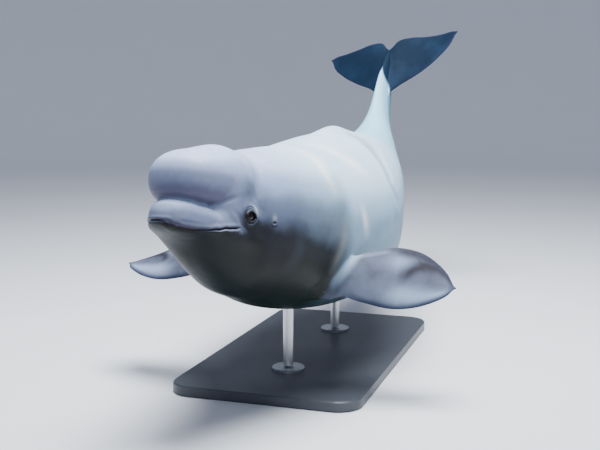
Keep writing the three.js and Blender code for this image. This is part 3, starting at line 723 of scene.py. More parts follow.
def eye_patch(side, loop):
    """Rings from the window's edge to the bottom of the socket, each as long as the loop."""
    eye = eye_place(side)
    off = loop - eye["point"]
    flat = np.stack([off @ eye["rear"], off @ eye["up"]], -1)
    turn = np.arctan2(flat[:, 1] / OPENING[1], flat[:, 0] / OPENING[0])
    edge = almond(turn)
    rings = []
    inside = eye["point"] - eye["out"] * RAY_DEPTH
    for k in range(1, LID_RINGS + 1):
        w = 1 - (1 - k / LID_RINGS) ** CROWDING
        place = flat * (1 - w) + edge * w
        start = inside + place[:, :1] * eye["rear"] + place[:, 1:] * eye["up"]
        smooth = leave(start, eye["out"], reach=140)
        away = np.linalg.norm(place - edge, axis=1)
        height = lid_height(away, turn) * ease(0, GROWN_IN, w) + relief(smooth)
        rings.append(smooth + eye["out"] * height[:, None])
    # the socket follows the ball, and one ring between it and the lid rounds the lid's edge
    ball = EYE["radius"] + SOCKET_GAP
    heading = edge / np.linalg.norm(edge, axis=1, keepdims=True)
    way = heading[:, :1] * eye["rear"] + heading[:, 1:] * eye["up"]
    touch = np.arcsin(np.clip(np.linalg.norm(edge, axis=1) / ball, 0, 1))
    swing = touch[:, None]
    first = eye["centre"] + ball * (np.sin(swing) * way + np.cos(swing) * eye["out"])
    rings.append(rings[-1] * 0.45 + first * 0.55 + way * 0.25)
    rings.append(first)
    for k in range(1, SOCKET_RINGS):
        swing = (touch + (SOCKET_END - touch) * (k / (SOCKET_RINGS - 1)) ** 0.9)[:, None]
        rings.append(eye["centre"] + ball * (np.sin(swing) * way + np.cos(swing) * eye["out"]))
    return np.array(rings)


def window_of(side):
    """The first and last ring and column of the window at one eye."""
    rows = np.where(np.abs(skin_grid[:, 0, 0] - EYE["s"]) < EYE_WINDOW)[0]
    rows = rows[np.ptp(skin_grid[rows, :, 0], axis=1) < 1e-6]
    middle = skin_grid[(rows[0] + rows[-1]) // 2]
    level = np.abs(middle[:, 2] - EYE["z"]) < EYE_WINDOW
    columns = np.where(level & (middle[:, 1] * side > 0))[0]
    return rows[0], rows[-1], columns[0], columns[-1]


# %% [markdown]
# ## One mesh for the body
# The rings, the two eye windows and the caps at snout and tail are sewn into one closed mesh.
# Numbers for whole rings are kept in arrays, which is far quicker than adding points one by one.

# %% One mesh for the body
class Sewing:
    """Points and faces that are being gathered into one mesh."""

    def __init__(self):
        self.points = []
        self.faces = []
        self.count = 0

    def add(self, points):
        """Takes points in and gives back their numbers."""
        points = np.asarray(points, float).reshape(-1, 3)
        self.points.append(points)
        numbers = np.arange(self.count, self.count + len(points))
        self.count += len(points)
        return numbers

    def join(self, ring, other):
        """Faces between two closed rings of the same length."""
        after, beyond = np.roll(ring, -1), np.roll(other, -1)
        self.faces.extend(np.stack([ring, other, beyond, after], 1).tolist())

    def close(self, ring, point, turned=False):
        """A fan from a ring to one point."""
        after = np.roll(ring, -1)
        hub = np.full(len(ring), point)
        order = [after, ring, hub] if turned else [ring, after, hub]
        self.faces.extend(np.stack(order, 1).tolist())


def signed_volume(points, faces):
    """The volume that faces enclose, negative when they face inward."""
    total = 0.0
    for corners in (3, 4):
        some = np.array([f for f in faces if len(f) == corners])
        for k in range(1, corners - 1):
            if len(some):
                a, b, c = points[some[:, 0]], points[some[:, k]], points[some[:, k + 1]]
                total += np.einsum("ij,ij->", a, np.cross(b, c)) / 6
    return total


def made_mesh(name, sewing):
    """A Blender object from sewn points, bent into place and turned into metres."""
    points = bend(np.concatenate(sewing.points)) * MM
    faces = sewing.faces
    if signed_volume(points, faces) < 0:
        faces = [f[::-1] for f in faces]
    mesh = bpy.data.meshes.new(name)
    mesh.from_pydata(points.tolist(), [], faces)
    mesh.polygons.foreach_set("use_smooth", np.ones(len(mesh.polygons), bool))
    mesh.update()
    made = bpy.data.objects.new(name, mesh)
    bpy.context.scene.collection.objects.link(made)
    return made


def sewn_body():
    """The head, neck, trunk and tail stock as one closed mesh with two eye sockets."""
    sewing = Sewing()
    numbers = sewing.add(skin_points).reshape(skin_points.shape[:2])
    snout = sewing.add(leave((HEART_S, 0, HEART_Z), (-1, 0, 0), reach=700))[0]
    tail = sewing.add((TRUNK[-1, 0] + TAIL_TIP, 0, 0))[0]
    windows = {side: window_of(side) for side in (1, -1)}
    keep = np.ones((numbers.shape[0] - 1, COLUMNS), bool)
    for top, bottom, first, last in windows.values():
        keep[top:bottom, first:last] = False
    for i in range(numbers.shape[0] - 1):
        j = np.where(keep[i])[0]
        k = (j + 1) % COLUMNS
        corners = [numbers[i, j], numbers[i + 1, j], numbers[i + 1, k], numbers[i, k]]
        sewing.faces.extend(np.stack(corners, 1).tolist())
    sewing.close(numbers[0], snout)
    sewing.close(numbers[-1], tail, turned=True)
    for side, (top, bottom, first, last) in windows.items():
        loop = np.concatenate([
            numbers[top, first:last], numbers[top:bottom, last],
            numbers[bottom, last:first:-1], numbers[bottom:top:-1, first],
        ])
        rings = eye_patch(side, skin_points.reshape(-1, 3)[loop])
        before = loop
        for ring in rings:
            here = sewing.add(ring)
            sewing.join(before, here)
            before = here
        floor = sewing.add(rings[-1].mean(0))[0]
        sewing.close(before, floor, turned=True)
    return made_mesh("whale_skin", sewing)


skin = sewn_body()
print("body:", len(skin.data.polygons), "faces")

# %% [markdown]
# ## Flippers and flukes
# A fin is a thin wing. It could be a plane with a Solidify modifier, but a real fin is thick near
# its front edge and thins to the rear, so it is lofted from wing sections along its span. Each
# section's foot spreads a little where it enters the body, as flesh does.

# %% Flippers and flukes
# how far a flipper reaches ahead of and behind its middle line, along the span from 0 to 1
FLIPPER_LEAD = np.array([(0, 75), (0.25, 100), (0.55, 118), (0.8, 82), (0.93, 40), (1, 3)])
FLIPPER_TRAIL = np.array([(0, 85), (0.25, 133), (0.55, 175), (0.8, 133), (0.93, 64), (1, 3)])
FLIPPER_THICK = np.array([(0, 32), (0.3, 22), (0.7, 12), (1, 3)])
FLIPPERS = {
    "left": {
        "side": 1, "s": 927, "z": -209, "back": 21.8, "down": 4.8, "roll": 70.2,
        "length": 545, "curl": 0.156, "sweep": 0.01, "twist": -10.6,
    },
    "right": {
        "side": -1, "s": 911, "z": -175, "back": 18.8, "down": 17.8, "roll": 54.9,
        "length": 546, "curl": 0.124, "sweep": 0.097, "twist": -38.4,
    },
}
# how far a flipper's foot is sunk into the body, by its length, and how deep its root lies
FLIPPER_SUNK = 0.24
ROOT_DEPTH = 20
# the foot's spread near the body, in width and in thickness
FLIPPER_FLARE = {"reach": 0.1, "wide": 34, "thick": 16}
# the flukes' front and rear edges, as places along the body, across the half span from 0 to 1
FLUKE_LEAD = np.array([(0, 3602), (0.25, 3680), (0.5, 3753), (0.75, 3846), (0.92, 3937), (1, 4014)])
FLUKE_TRAIL = np.array([
    (0, 3964), (0.1, 4030), (0.3, 4059), (0.5, 4048), (0.75, 4038), (0.92, 4036), (1, 4025),
])
FLUKE_THICK = np.array([(0, 22), (0.3, 16), (0.7, 9), (1, 3)])
FLUKE_HALF = 513
# how the left (1) and the right (-1) fluke rise and curl, and how rounded the ridge between is
FLUKE_CURL = {1: 123, -1: -17}
FLUKE_RISE = {1: -123, -1: -45}
FLUKE_RIDGE = 0.05
# half the thickness of a fin's rim, and the shape of its section: how soon the rim is rounded,
# how full the section is and how it thins to the rear
FIN_EDGE = 1.5
SECTION = {"rounded": 12, "full": 1.9, "thins": 0.85}
FIN_SIDES = 44
FIN_STEPS = 90


def fin_ring(lead, trail, face, half):
    """A wing section from its front edge over the top and back below, fullest near its front."""
    u = (1 - np.cos(np.pi * np.arange(FIN_SIDES + 1) / FIN_SIDES)) / 2
    rim = FIN_EDGE * np.sqrt(np.minimum(1, SECTION["rounded"] * u * (1 - u)))
    fat = rim + SECTION["full"] * half * np.sqrt(u) * (1 - u) ** SECTION["thins"]
    on = lead + (trail - lead) * u[:, None]
    over = on + face * fat[:, None]
    under = on - face * fat[:, None]
    return np.concatenate([over, under[-2:0:-1]])


def flipper_rings(side, s, z, back, down, roll, length, curl, sweep, twist):
    """Sections of a flipper from inside the body to its tip."""
    b, d, r = np.radians([back, down, roll])
    out = np.array([np.sin(b) * np.cos(d), np.cos(b) * np.cos(d), -np.sin(d)])
    flat = np.array([np.cos(b), -np.sin(b), 0])
    lift = np.cross(flat, out)
    chord = flat * np.cos(r) + lift * np.sin(r)
    face = lift * np.cos(r) - flat * np.sin(r)
    root = leave((s, 0, z), (0, 1, 0), reach=600) - (0, ROOT_DEPTH, 0)
    inside = [-FLIPPER_SUNK, -FLIPPER_SUNK / 2]
    outside = np.sin(np.pi / 2 * np.arange(FIN_STEPS + 1) / FIN_STEPS)
    rings = []
    for t in np.concatenate([inside, outside]):
        held = max(t, 0)
        turn = math.radians(twist) * held
        line = root + out * length * t + (face * curl + chord * sweep) * length * held**2
        run = chord * math.cos(turn) + face * math.sin(turn)
        normal = face * math.cos(turn) - chord * math.sin(turn)
        flare = float(bump(held, FLIPPER_FLARE["reach"]))
        spread = FLIPPER_FLARE["wide"] * flare**2
        lead = line - run * (along(FLIPPER_LEAD, held)[0] + spread)
        trail = line + run * (along(FLIPPER_TRAIL, held)[0] + spread)
        half = along(FLIPPER_THICK, held)[0] + FLIPPER_FLARE["thick"] * flare
        rings.append(fin_ring(lead, trail, normal, half))
    return np.array(rings) * (1, side, 1)


def fluke_rings():
    """Sections of both flukes from the right tip to the left tip."""
    rings = []
    for t in np.sin(np.pi / 2 * np.linspace(-1, 1, 2 * FIN_STEPS + 1)):
        side = 1 if t > 0 else -1
        share = abs(t)
        lift = math.hypot(share, FLUKE_RIDGE) - FLUKE_RIDGE
        curl, rise = FLUKE_CURL[side], FLUKE_RISE[side]
        height = curl * lift**2 + rise * lift
        steep = (2 * curl * lift + rise) * t / math.hypot(share, FLUKE_RIDGE) / FLUKE_HALF
        normal = np.array([0, -steep, 1]) / math.hypot(steep, 1)
        lead = np.array([along(FLUKE_LEAD, share)[0], FLUKE_HALF * t, height])
        trail = np.array([along(FLUKE_TRAIL, share)[0], FLUKE_HALF * t, height])
        rings.append(fin_ring(lead, trail, normal, along(FLUKE_THICK, share)[0]))
    return np.array(rings)


def lofted(name, rings):
    """A closed fin from its sections."""
    sewing = Sewing()
    numbers = [sewing.add(ring) for ring in rings]
    for ring, other in zip(numbers[:-1], numbers[1:]):
        sewing.join(ring, other)
    sewing.close(numbers[0], sewing.add(rings[0].mean(0))[0])
    sewing.close(numbers[-1], sewing.add(rings[-1].mean(0))[0], turned=True)
    return made_mesh(name, sewing)


fins = [lofted(f"flipper_{name}", flipper_rings(**sizes)) for name, sizes in FLIPPERS.items()]
fins.append(lofted("flukes", fluke_rings()))
print("fins:", [len(fin.data.polygons) for fin in fins])

# %% [markdown]
# ## Growing the fins out of the body
# Flesh has no joint where a fin begins. A Boolean modifier unites the fins and the body, which
# leaves a sharp corner. A Bevel would need clean loops there, so the corner is relaxed instead:
# each point near it moves toward the mean of its neighbours again and again, strongest at the
# corner itself.

# %% Growing the fins out of the body
# how far from the corner the skin is relaxed, and how many times
RELAX = {"flipper": {"reach": 70, "rounds": 90}, "fluke": {"reach": 45, "rounds": 50}}
RELAX_SHARE = 0.6
RELAX_FADE = 1.2
# the flukes lie behind this place in the hall, and the flippers ahead of it
TAIL_FROM = 1000
# points nearer than a twentieth of a millimetre count as the same
SAME_PLACE = 20


def united(body, others):
    """The body and the fins as one mesh."""
    for other in others:
        join = body.modifiers.new(other.name, "BOOLEAN")
        join.operation = "UNION"
        join.object = other
        join.solver = "MANIFOLD"
    bpy.context.view_layer.update()
    graph = bpy.context.evaluated_depsgraph_get()
    mesh = bpy.data.meshes.new_from_object(body.evaluated_get(graph))
    body.modifiers.clear()
    body.data = mesh
    for other in others:
        bpy.data.objects.remove(other)
    return body


def mesh_points(mesh):
    """The mesh's points in metres as an array."""
    flat = np.empty(len(mesh.vertices) * 3)
    mesh.vertices.foreach_get("co", flat)
    return flat.reshape(-1, 3)


def mesh_edges(mesh):
    """The mesh's edges as pairs of point numbers."""
    flat = np.empty(len(mesh.edges) * 2, int)
    mesh.edges.foreach_get("vertices", flat)
    return flat.reshape(-1, 2)


def coarse_places(points):
    """Places rounded so far that equal points become the same."""
    return [tuple(row) for row in np.round(points / MM * SAME_PLACE).astype(int).tolist()]


def corner_points(points, sources):
    """The points that the union made, which are the ones found in none of its sources."""
    known = set(coarse_places(np.concatenate(sources)))
    return np.array([place not in known for place in coarse_places(points)])


def relaxed(mesh, fresh):
    """Rounds the corner where the fins meet the body."""
    points = mesh_points(mesh)
    edges = mesh_edges(mesh)
    finder = KDTree(int(fresh.sum()))
    for number, place in enumerate(points[fresh]):
        finder.insert(place, number)
    finder.balance()
    rear = points[:, 1] > TAIL_FROM * MM
    for name, region in (("flipper", ~rear), ("fluke", rear)):
        reach = RELAX[name]["reach"] * MM
        low = points[fresh & region].min(0) - reach
        high = points[fresh & region].max(0) + reach
        chosen = np.where(region & ((points > low) & (points < high)).all(1))[0]
        away = np.array([finder.find(points[number])[2] for number in chosen])
        strength = np.zeros(len(points))
        strength[chosen] = (1 - ease(0, reach, away)) ** RELAX_FADE
        moving = strength > 0
        linked = edges[moving[edges].any(1)]
        a, b = np.concatenate([linked, linked[:, ::-1]]).T
        degree = np.maximum(np.bincount(a, minlength=len(points)), 1)
        weight = RELAX_SHARE * strength[:, None]
        for _ in range(RELAX[name]["rounds"]):
            total = np.stack([np.bincount(a, points[b, c], len(points)) for c in range(3)], 1)
            moved = points + (total / degree[:, None] - points) * weight
            points = np.where(moving[:, None], moved, points)
    mesh.vertices.foreach_set("co", points.ravel())
    mesh.update()
    return int(fresh.sum())


before = [mesh_points(thing.data) for thing in [skin, *fins]]
skin = united(skin, fins)
corner = corner_points(mesh_points(skin.data), before)
print("relaxed round", relaxed(skin.data, corner), "corner points")
print("one skin of", len(skin.data.polygons), "faces")

# %% [markdown]
# ## Marks on the skin
# The finish has to know where it lies: on the lip, deep in a fold, or at a fin's edge. Painting
# those places by hand would need an image, so each one is worked out from the mesh and kept as an
# attribute, a number for each point that the material can read.

# %% Marks on the skin
def mark(mesh, name, values):
    """Keeps a number or a place for each point of a mesh."""
    values = np.asarray(values, float)
    if values.ndim == 2:
        layer = mesh.attributes.new(name, "FLOAT_VECTOR", "POINT")
        layer.data.foreach_set("vector", values.ravel())
    else:
        layer = mesh.attributes.new(name, "FLOAT", "POINT")
        layer.data.foreach_set("value", values)


def point_normals(mesh):
    """The way each point faces."""
    flat = np.empty(len(mesh.vertices) * 3)
    mesh.vertex_normals.foreach_get("vector", flat)
    return flat.reshape(-1, 3)


def near_fin(points, rings, reach):
    """How near points come to a fin's edges (1 on them), how far out they are and how far back."""
    away, nearest = [], []
    for corner in (0, FIN_SIDES):
        edge = KDTree(len(rings))
        for number, ring in enumerate(rings):
            edge.insert(ring[corner], number)
        edge.balance()
        found = [edge.find(place) for place in points]
        away.append([hit[2] for hit in found])
        nearest.append([hit[1] for hit in found])
    lead, trail = np.array(away)
    back = lead / np.maximum(lead + trail, 1e-6)
    first, second = np.array(nearest) / (len(rings) - 1)
    return 1 - ease(0, reach, np.minimum(lead, trail)), first + (second - first) * back, back


# painted light: bright streaks and highlights, as lines of places (s, z) on the left side, each
# with a width
PAINTED_LIGHTS = [
    {"width": 34, "pale": 0.95, "line": [
        (936, 341), (900, 322), (863, 299), (840, 262), (834, 225), (836, 190),
    ]},
    {"width": 44, "pale": 0.8, "line": [
        (1223, 364), (1188, 345), (1190, 325), (1222, 303), (1267, 260),
    ]},
    {"width": 26, "pale": 0.9, "line": [(1071, 114), (1091, 58), (1117, -9)]},
    {"width": 32, "pale": 0.2, "line": [(895, 41), (889, -39), (870, -121), (867, -170)]},
    {"width": 8, "pale": 0.5, "line": [(356, 27), (370, 18), (380, 2)]},
    {"width": 9, "pale": 0.25, "line": [(459, 13), (463, -6)]},
]
PAINTED_LIGHT_REACH = 3


def painted_light_places(p):
    """How much painted light lies on the skin, from 0 to 1."""
    pale = np.zeros(len(p))
    for patch in PAINTED_LIGHTS:
        near = (p[:, 1] > 0) & beside(p, patch["line"], PAINTED_LIGHT_REACH * patch["width"])
        away, share = line_distance(p[near], smooth_line(patch["line"]))
        held = patch["pale"] * (0.35 + 0.65 * np.sin(np.pi * share))
        pale[near] = np.maximum(pale[near], bump(away, patch["width"]) * held)
    return pale


# %% [markdown]
# ### The marks of the head
# The line of the mouth, the slit of the blowhole and the pin-holes of the ears are nearly black,
# because light doesn't reach their floor. The band over the mouth lies in the melon's shadow, and
# below and in front of the eye the lids throw a small shadow of their own. A lamp can't show all
# this on so smooth a skin, so a part of it is painted, as a maker of models does.

# %% The marks of the head
# widths of the dark line of the mouth and of the crease, and of a pin-hole by the ear's own width
MOUTH_SHADE = 4.2
CREASE_SHADE = 7
PIN_SHADE = 1.6
# painted shade in folds and creases: a fold of this depth is as dark as a fold can be
DEEP_FOLD = 5
# the muzzle starts at the line of the mouth and ends before the eye, slanting back where it is low
MUZZLE = {"line": (-6, 12), "end": (250, 330), "slant": 0.6, "below": -40, "over": 60}
# painted shade of the upper lip, under the melon, widens to the rear
LIP_SHADE = {"width": 28, "more": 34, "widens": (170, 235), "fades": (262, 305)}
# painted shade just below the line at the mouth's corner
LIP_CORNER = {"below": 7, "width": 7, "starts": (150, 230), "fades": (290, 330)}
# the dusk is the shadow of the cheek, below the eye
DUSK = {"s": 372, "z": -94, "stretch": 1.2, "width": 52}


def mark_head(mesh, straight):
    """Painted shade in the slits and creases, the muzzle, and painted shade round the lips and the
    cheek.
    """
    s, z = straight[:, 0], straight[:, 2]
    head = s < HEAD_END
    rise, held = mouth_offset(straight)
    away, kept = crease_offset(straight)
    # painted shade in the slits of the mouth, the blowhole and the ears
    line = held * bump(rise, MOUTH_SHADE)
    slit = np.clip(-blowhole_relief(straight) / BLOWHOLE["depth"], 0, 1)
    pin = bump(ear_distance(straight), EAR["hole"] * PIN_SHADE)
    mark(mesh, "slits", np.clip(line + slit + pin, 0, 1) * head)
    # painted shade in the crease under the melon and in the folds
    crease = kept * bump(away, CREASE_SHADE) * head
    folds = np.clip(-fold_relief(straight) / DEEP_FOLD, 0, 1)
    mark(mesh, "creases", np.clip(crease + folds, 0, 1))
    above_line = ease(*MUZZLE["line"], rise) * head
    slanted = s + MUZZLE["slant"] * np.clip(MUZZLE["below"] - z, 0, MUZZLE["over"])
    mark(mesh, "muzzle", above_line * (1 - ease(*MUZZLE["end"], slanted)))
    # painted shade over the upper lip and below the line at its corner
    width = LIP_SHADE["width"] + LIP_SHADE["more"] * ease(*LIP_SHADE["widens"], s)
    on_lip = above_line * bump(np.maximum(rise, 0), width) * (1 - ease(*LIP_SHADE["fades"], s))
    below = bump(rise + LIP_CORNER["below"], LIP_CORNER["width"])
    in_corner = ease(*LIP_CORNER["starts"], s) * (1 - ease(*LIP_CORNER["fades"], s))
    mark(mesh, "lip_shade", np.maximum(on_lip, below * in_corner * head))
    from_dusk = np.hypot((s - DUSK["s"]) / DUSK["stretch"], z - DUSK["z"])
    mark(mesh, "dusk", bump(from_dusk, DUSK["width"]) * head)


# %% The dark rims of the eyes and their painted shadow
# by the size of the opening: where the rim and the shadow begin to fade and where they end
RIM = (1.02, 1.35)
EYE_SHADOW = (1.2, 2.9)
# the painted shadow lies away from this way, which is back and up
SHADOW_FROM = (0.8, 0.6)
SHADOW_DEPTH = 0.7
EYE_REGION = (230, 440)


def mark_eye_rims_and_shadows(mesh, straight):
    """The dark edges of the lids, and the painted shadow in front of each eye and below it."""
    s, y = straight[:, 0], straight[:, 1]
    rim = np.zeros(len(straight))
    for side in (1, -1):
        eye = eye_place(side)
        off = straight - eye["point"]
        rear, over = off @ eye["rear"], off @ eye["up"]
        oval = np.hypot(rear / OPENING[0], over / OPENING[1])
        turned = SHADOW_FROM[0] * rear + SHADOW_FROM[1] * over
        turned = turned / np.maximum(np.hypot(rear, over), 1)
        aside = np.clip(SHADOW_DEPTH - SHADOW_DEPTH * turned, 0, 1)
        ring = np.maximum(1 - ease(*RIM, oval), aside * (1 - ease(*EYE_SHADOW, oval)))
        region = (y * side > 0) & (s > EYE_REGION[0]) & (s < EYE_REGION[1])
        rim = np.where(region, ring, rim)
    mark(mesh, "eye_rim", rim)


# %% [markdown]
# ### The marks of the fins
# A flipper is grey with a darker rear edge and a few painted highlights; its rim is nearly black.
# The flukes are slate above, with a keel of white flesh between them. How far out and how far
# back a point lies on its fin is enough to draw all of these.

# %% The marks of the fins
# how wide the dark rims are
FLIPPER_RIM = 30
FLUKE_RIM = 22
# where the flipper's own colour begins outside the body
FLIPPER_FROM = 3
FLIPPER_COLOUR = (3, 50)
# the dark stripe: its place across the flipper, which moves back toward the tip, and its start
STRIPE = {"back": 0.55, "moves": 0.35, "toward": (0.6, 1), "width": 0.13, "starts": (0.48, 0.7)}
REAR_BAND = {"back": (0.78, 0.95), "starts": (0.42, 0.6)}
# painted highlights: a spot, the front edge and the root of the rear edge
SPOT = {"back": 0.77, "out": 0.55, "width": 0.15}
FRONT = {"back": 0.22, "width": 0.15, "starts": (0.25, 0.6)}
REAR_ROOT = {"back": (0.86, 0.97), "starts": (0, 0.08), "ends": (0.38, 0.5)}
# the flukes' slate begins behind the tail stock and beside a keel that narrows to the rear
FLUKE_FROM = (3560, 3620)
KEEL = {"half": 50, "narrows": (3590, 3830), "less": 12, "aside": 5, "fade": 12}


def flipper_marks(out, back):
    """The dark band and the painted highlights of a flipper, by how far out and how far back."""
    across = back - STRIPE["back"] - STRIPE["moves"] * ease(*STRIPE["toward"], out)
    stripe = bump(across, STRIPE["width"]) * ease(*STRIPE["starts"], out)
    edge = ease(*REAR_BAND["back"], back) * ease(*REAR_BAND["starts"], out)
    spot = bump(back - SPOT["back"], SPOT["width"]) * bump(out - SPOT["out"], SPOT["width"])
    front = bump(back - FRONT["back"], FRONT["width"]) * ease(*FRONT["starts"], out)
    rear = ease(*REAR_ROOT["back"], back) * (1 - ease(*REAR_ROOT["ends"], out))
    rear = rear * ease(*REAR_ROOT["starts"], out)
    return np.maximum(stripe, edge), np.maximum.reduce([spot, front, rear])


def mark_fins(mesh, points, straight):
    """The colours and rims of the flippers and the flukes."""
    names = ("flipper", "band", "gleam", "fluke", "margin")
    marks = {name: np.zeros(len(points)) for name in names}
    for sizes in FLIPPERS.values():
        rings = flipper_rings(**sizes)[2:]
        low, high = rings.min((0, 1)) - 5, rings.max((0, 1)) + 5
        box = np.where(((straight > low) & (straight < high)).all(1))[0]
        box = box[to_head(straight[box]) > FLIPPER_FROM]
        edge, out, back = near_fin(straight[box], rings, FLIPPER_RIM)
        out = np.sin(np.pi / 2 * out)
        marks["margin"][box] = edge * ease(0.05, 0.3, out)
        marks["flipper"][box] = ease(*FLIPPER_COLOUR, to_head(straight[box]))
        marks["band"][box], marks["gleam"][box] = flipper_marks(out, back)
    box = np.where((straight[:, 0] > FLUKE_FROM[0]) & (points[:, 1] > TAIL_FROM))[0]
    edge, out, _ = near_fin(straight[box], fluke_rings(), FLUKE_RIM)
    marks["margin"][box] = edge * ease(0.1, 0.3, np.abs(out * 2 - 1))
    s, y = straight[box, 0], straight[box, 1]
    keel = KEEL["half"] * (1 - ease(*KEEL["narrows"], s)) - KEEL["less"]
    beside_keel = ease(0, KEEL["fade"], np.abs(y - KEEL["aside"]) - keel)
    marks["fluke"][box] = beside_keel * ease(*FLUKE_FROM, s)
    for name, values in marks.items():
        mark(mesh, name, values)


def mark_skin(mesh):
    """Works out every mark that the skin's finish reads."""
    points = mesh_points(mesh) / MM
    straight = unbend(points)
    mark(mesh, "body", straight * MM)
    mark(mesh, "upward", (point_normals(mesh) * spine_at(straight[:, 0])["up"]).sum(1))
    # painted light of bright streaks and highlights
    mark(mesh, "pale", painted_light_places(straight))
    mark_head(mesh, straight)
    mark_eye_rims_and_shadows(mesh, straight)
    mark_fins(mesh, points, straight)
    return len(points)


print("marked", mark_skin(skin.data), "points of skin")

# %% [markdown]
# ## Eyes
# A beluga's eye is a small dark ball with a low clear bulge in front. Each ball is made of rings
# round its own axis, so that iris and pupil are rings too. It stays a piece of its own, deep in
# its socket.

# %% Eyes
EYE_RINGS = 40
EYE_SPOKES = 64
# the cornea's bulge over the ball, and the angles from the axis where it, iris and pupil end
CORNEA = {"angle": 34, "rise": 1.6}
IRIS = {"edge": 30, "pupil": 12}


def eyeball(name, side):
    """A ball with a cornea, whose axis points out of the socket."""
    eye = eye_place(side)
    sewing = Sewing()
    tilt = np.pi * np.arange(1, EYE_RINGS) / EYE_RINGS
    spokes = 2 * np.pi * np.arange(EYE_SPOKES) / EYE_SPOKES
    way = np.cos(spokes)[:, None] * eye["rear"] + np.sin(spokes)[:, None] * eye["up"]
    rise = CORNEA["rise"] * (1 - ease(0, CORNEA["angle"], np.degrees(tilt)))
    before = None
    degrees = [0.0]
    front = sewing.add(eye["centre"] + eye["out"] * (EYE["radius"] + CORNEA["rise"]))[0]
    for angle, lift in zip(tilt, rise):
        radius = EYE["radius"] + lift
        toward = np.sin(angle) * way + np.cos(angle) * eye["out"]
        here = sewing.add(eye["centre"] + radius * toward)
        degrees.extend([math.degrees(angle)] * EYE_SPOKES)
        if before is None:
            sewing.close(here, front)
        else:
            sewing.join(before, here)
        before = here
    sewing.close(before, sewing.add(eye["centre"] - eye["out"] * EYE["radius"])[0], turned=True)
    degrees.append(180.0)
    made = made_mesh(name, sewing)
    turns = np.concatenate([[0], np.tile(spokes, EYE_RINGS - 1), [0]])
    mark(made.data, "from_axis", np.array(degrees) / 90)
    mark(made.data, "spoke", np.stack([np.cos(turns), np.sin(turns), np.array(degrees) / 90], 1))
    return made


eyes = {name: eyeball(f"eyeball_{name}", side) for name, side in (("left", 1), ("right", -1))}
print("left eye at", to_millimetre(mesh_points(eyes["left"].data).mean(0)))

# %% [markdown]
# ## Writing a finish as sums
# Blender's shader nodes are sums drawn as boxes. A small class lets them be written as ordinary
# Python expressions, so that a finish can be read from top to bottom like a recipe.

# %% Writing a finish as sums
class Value:
    """The output of one node. Sums of it become Math nodes."""

    def __init__(self, finish, socket):
        self.finish = finish
        self.socket = socket

    def _sum(self, operation, first, second):
        return self.finish.node("ShaderNodeMath", {"operation": operation}, {0: first, 1: second})

    def __add__(self, other):
        return self._sum("ADD", self, other)

    def __radd__(self, other):
        return self._sum("ADD", other, self)

    def __sub__(self, other):
        return self._sum("SUBTRACT", self, other)

    def __rsub__(self, other):
        return self._sum("SUBTRACT", other, self)

    def __mul__(self, other):
        return self._sum("MULTIPLY", self, other)

    def __rmul__(self, other):
        return self._sum("MULTIPLY", other, self)


class Finish:
    """A material that is written as sums."""

    def __init__(self, name, **surface):
        self.material = bpy.data.materials.new(name)
        self.material.use_nodes = True
        self.nodes = self.material.node_tree.nodes
        self.links = self.material.node_tree.links
        self.surface = self.nodes["Principled BSDF"]
        for socket, value in surface.items():
            self.surface.inputs[socket.replace("_", " ")].default_value = value

    def node(self, kind, settings=None, inputs=None, output=0):
        """Adds a node: its settings first, then the values or links of its sockets."""
        made = self.nodes.new(kind)
        for name, value in (settings or {}).items():
            if name == "stops":
                ramp = made.color_ramp
                while len(ramp.elements) < len(value):
                    ramp.elements.new(1.0)
                for element, (place, colour) in zip(ramp.elements, value):
                    element.position = place
                    element.color = (*colour, 1.0)
            elif name == "easing":
                made.color_ramp.interpolation = value
            else:
                setattr(made, name, value)
        for name, value in (inputs or {}).items():
            self.feed(made.inputs[name], value)
        return Value(self, made.outputs[output])

    def feed(self, socket, value):
        """Links a value to a socket, or sets a plain number or colour on it."""
        if isinstance(value, Value):
            self.links.new(value.socket, socket)
        elif isinstance(value, tuple) and len(value) == 3 and len(socket.default_value) == 4:
            socket.default_value = (*value, 1.0)
        else:
            socket.default_value = value

    def drive(self, **sockets):
        """Feeds what varies over the surface into the shader."""
        for name, value in sockets.items():
            self.feed(self.surface.inputs[name.replace("_", " ")], value)

    def mark(self, name):
        """A number that the mesh keeps."""
        return self.node("ShaderNodeAttribute", {"attribute_name": name}, output="Fac")

    def place(self, name):
        """A place that the mesh keeps."""
        return self.node("ShaderNodeAttribute", {"attribute_name": name}, output="Vector")

    def part(self, vector, axis):
        """One of the three numbers of a place."""
        return self.node("ShaderNodeSeparateXYZ", inputs={0: vector}, output=axis)

    def stretched(self, vector, scale):
        """A place with its three numbers scaled apart."""
        settings = {"operation": "MULTIPLY"}
        return self.node("ShaderNodeVectorMath", settings, {0: vector, 1: scale})

    def mottle(self, vector, scale, detail, rough=0.55):
        """Cloudy noise from 0 to 1."""
        inputs = {"Vector": vector, "Scale": scale, "Detail": detail, "Roughness": rough}
        return self.node("ShaderNodeTexNoise", inputs=inputs)

    def ramp(self, value, low, high, top=1.0):
        """From 0 at low to top at high."""
        settings = {"interpolation_type": "SMOOTHSTEP"}
        inputs = {"Value": value, "From Min": low, "From Max": high, "To Max": top}
        return self.node("ShaderNodeMapRange", settings, inputs)

    def shades(self, value, stops):
        """A colour that changes with a value."""
        return self.node("ShaderNodeValToRGB", {"stops": stops, "easing": "EASE"}, {0: value})

    def mix(self, share, first, second, how="MIX"):
        """Two colours mixed by a share."""
        settings = {"data_type": "RGBA", "blend_type": how}
        return self.node("ShaderNodeMix", settings, {0: share, 6: first, 7: second}, output=2)

    def bumped(self, height, distance, strength):
        """A normal that follows a height, which stands for so many metres where it is 1."""
        inputs = {"Height": height, "Distance": distance, "Strength": strength}
        return self.node("ShaderNodeBump", inputs=inputs)
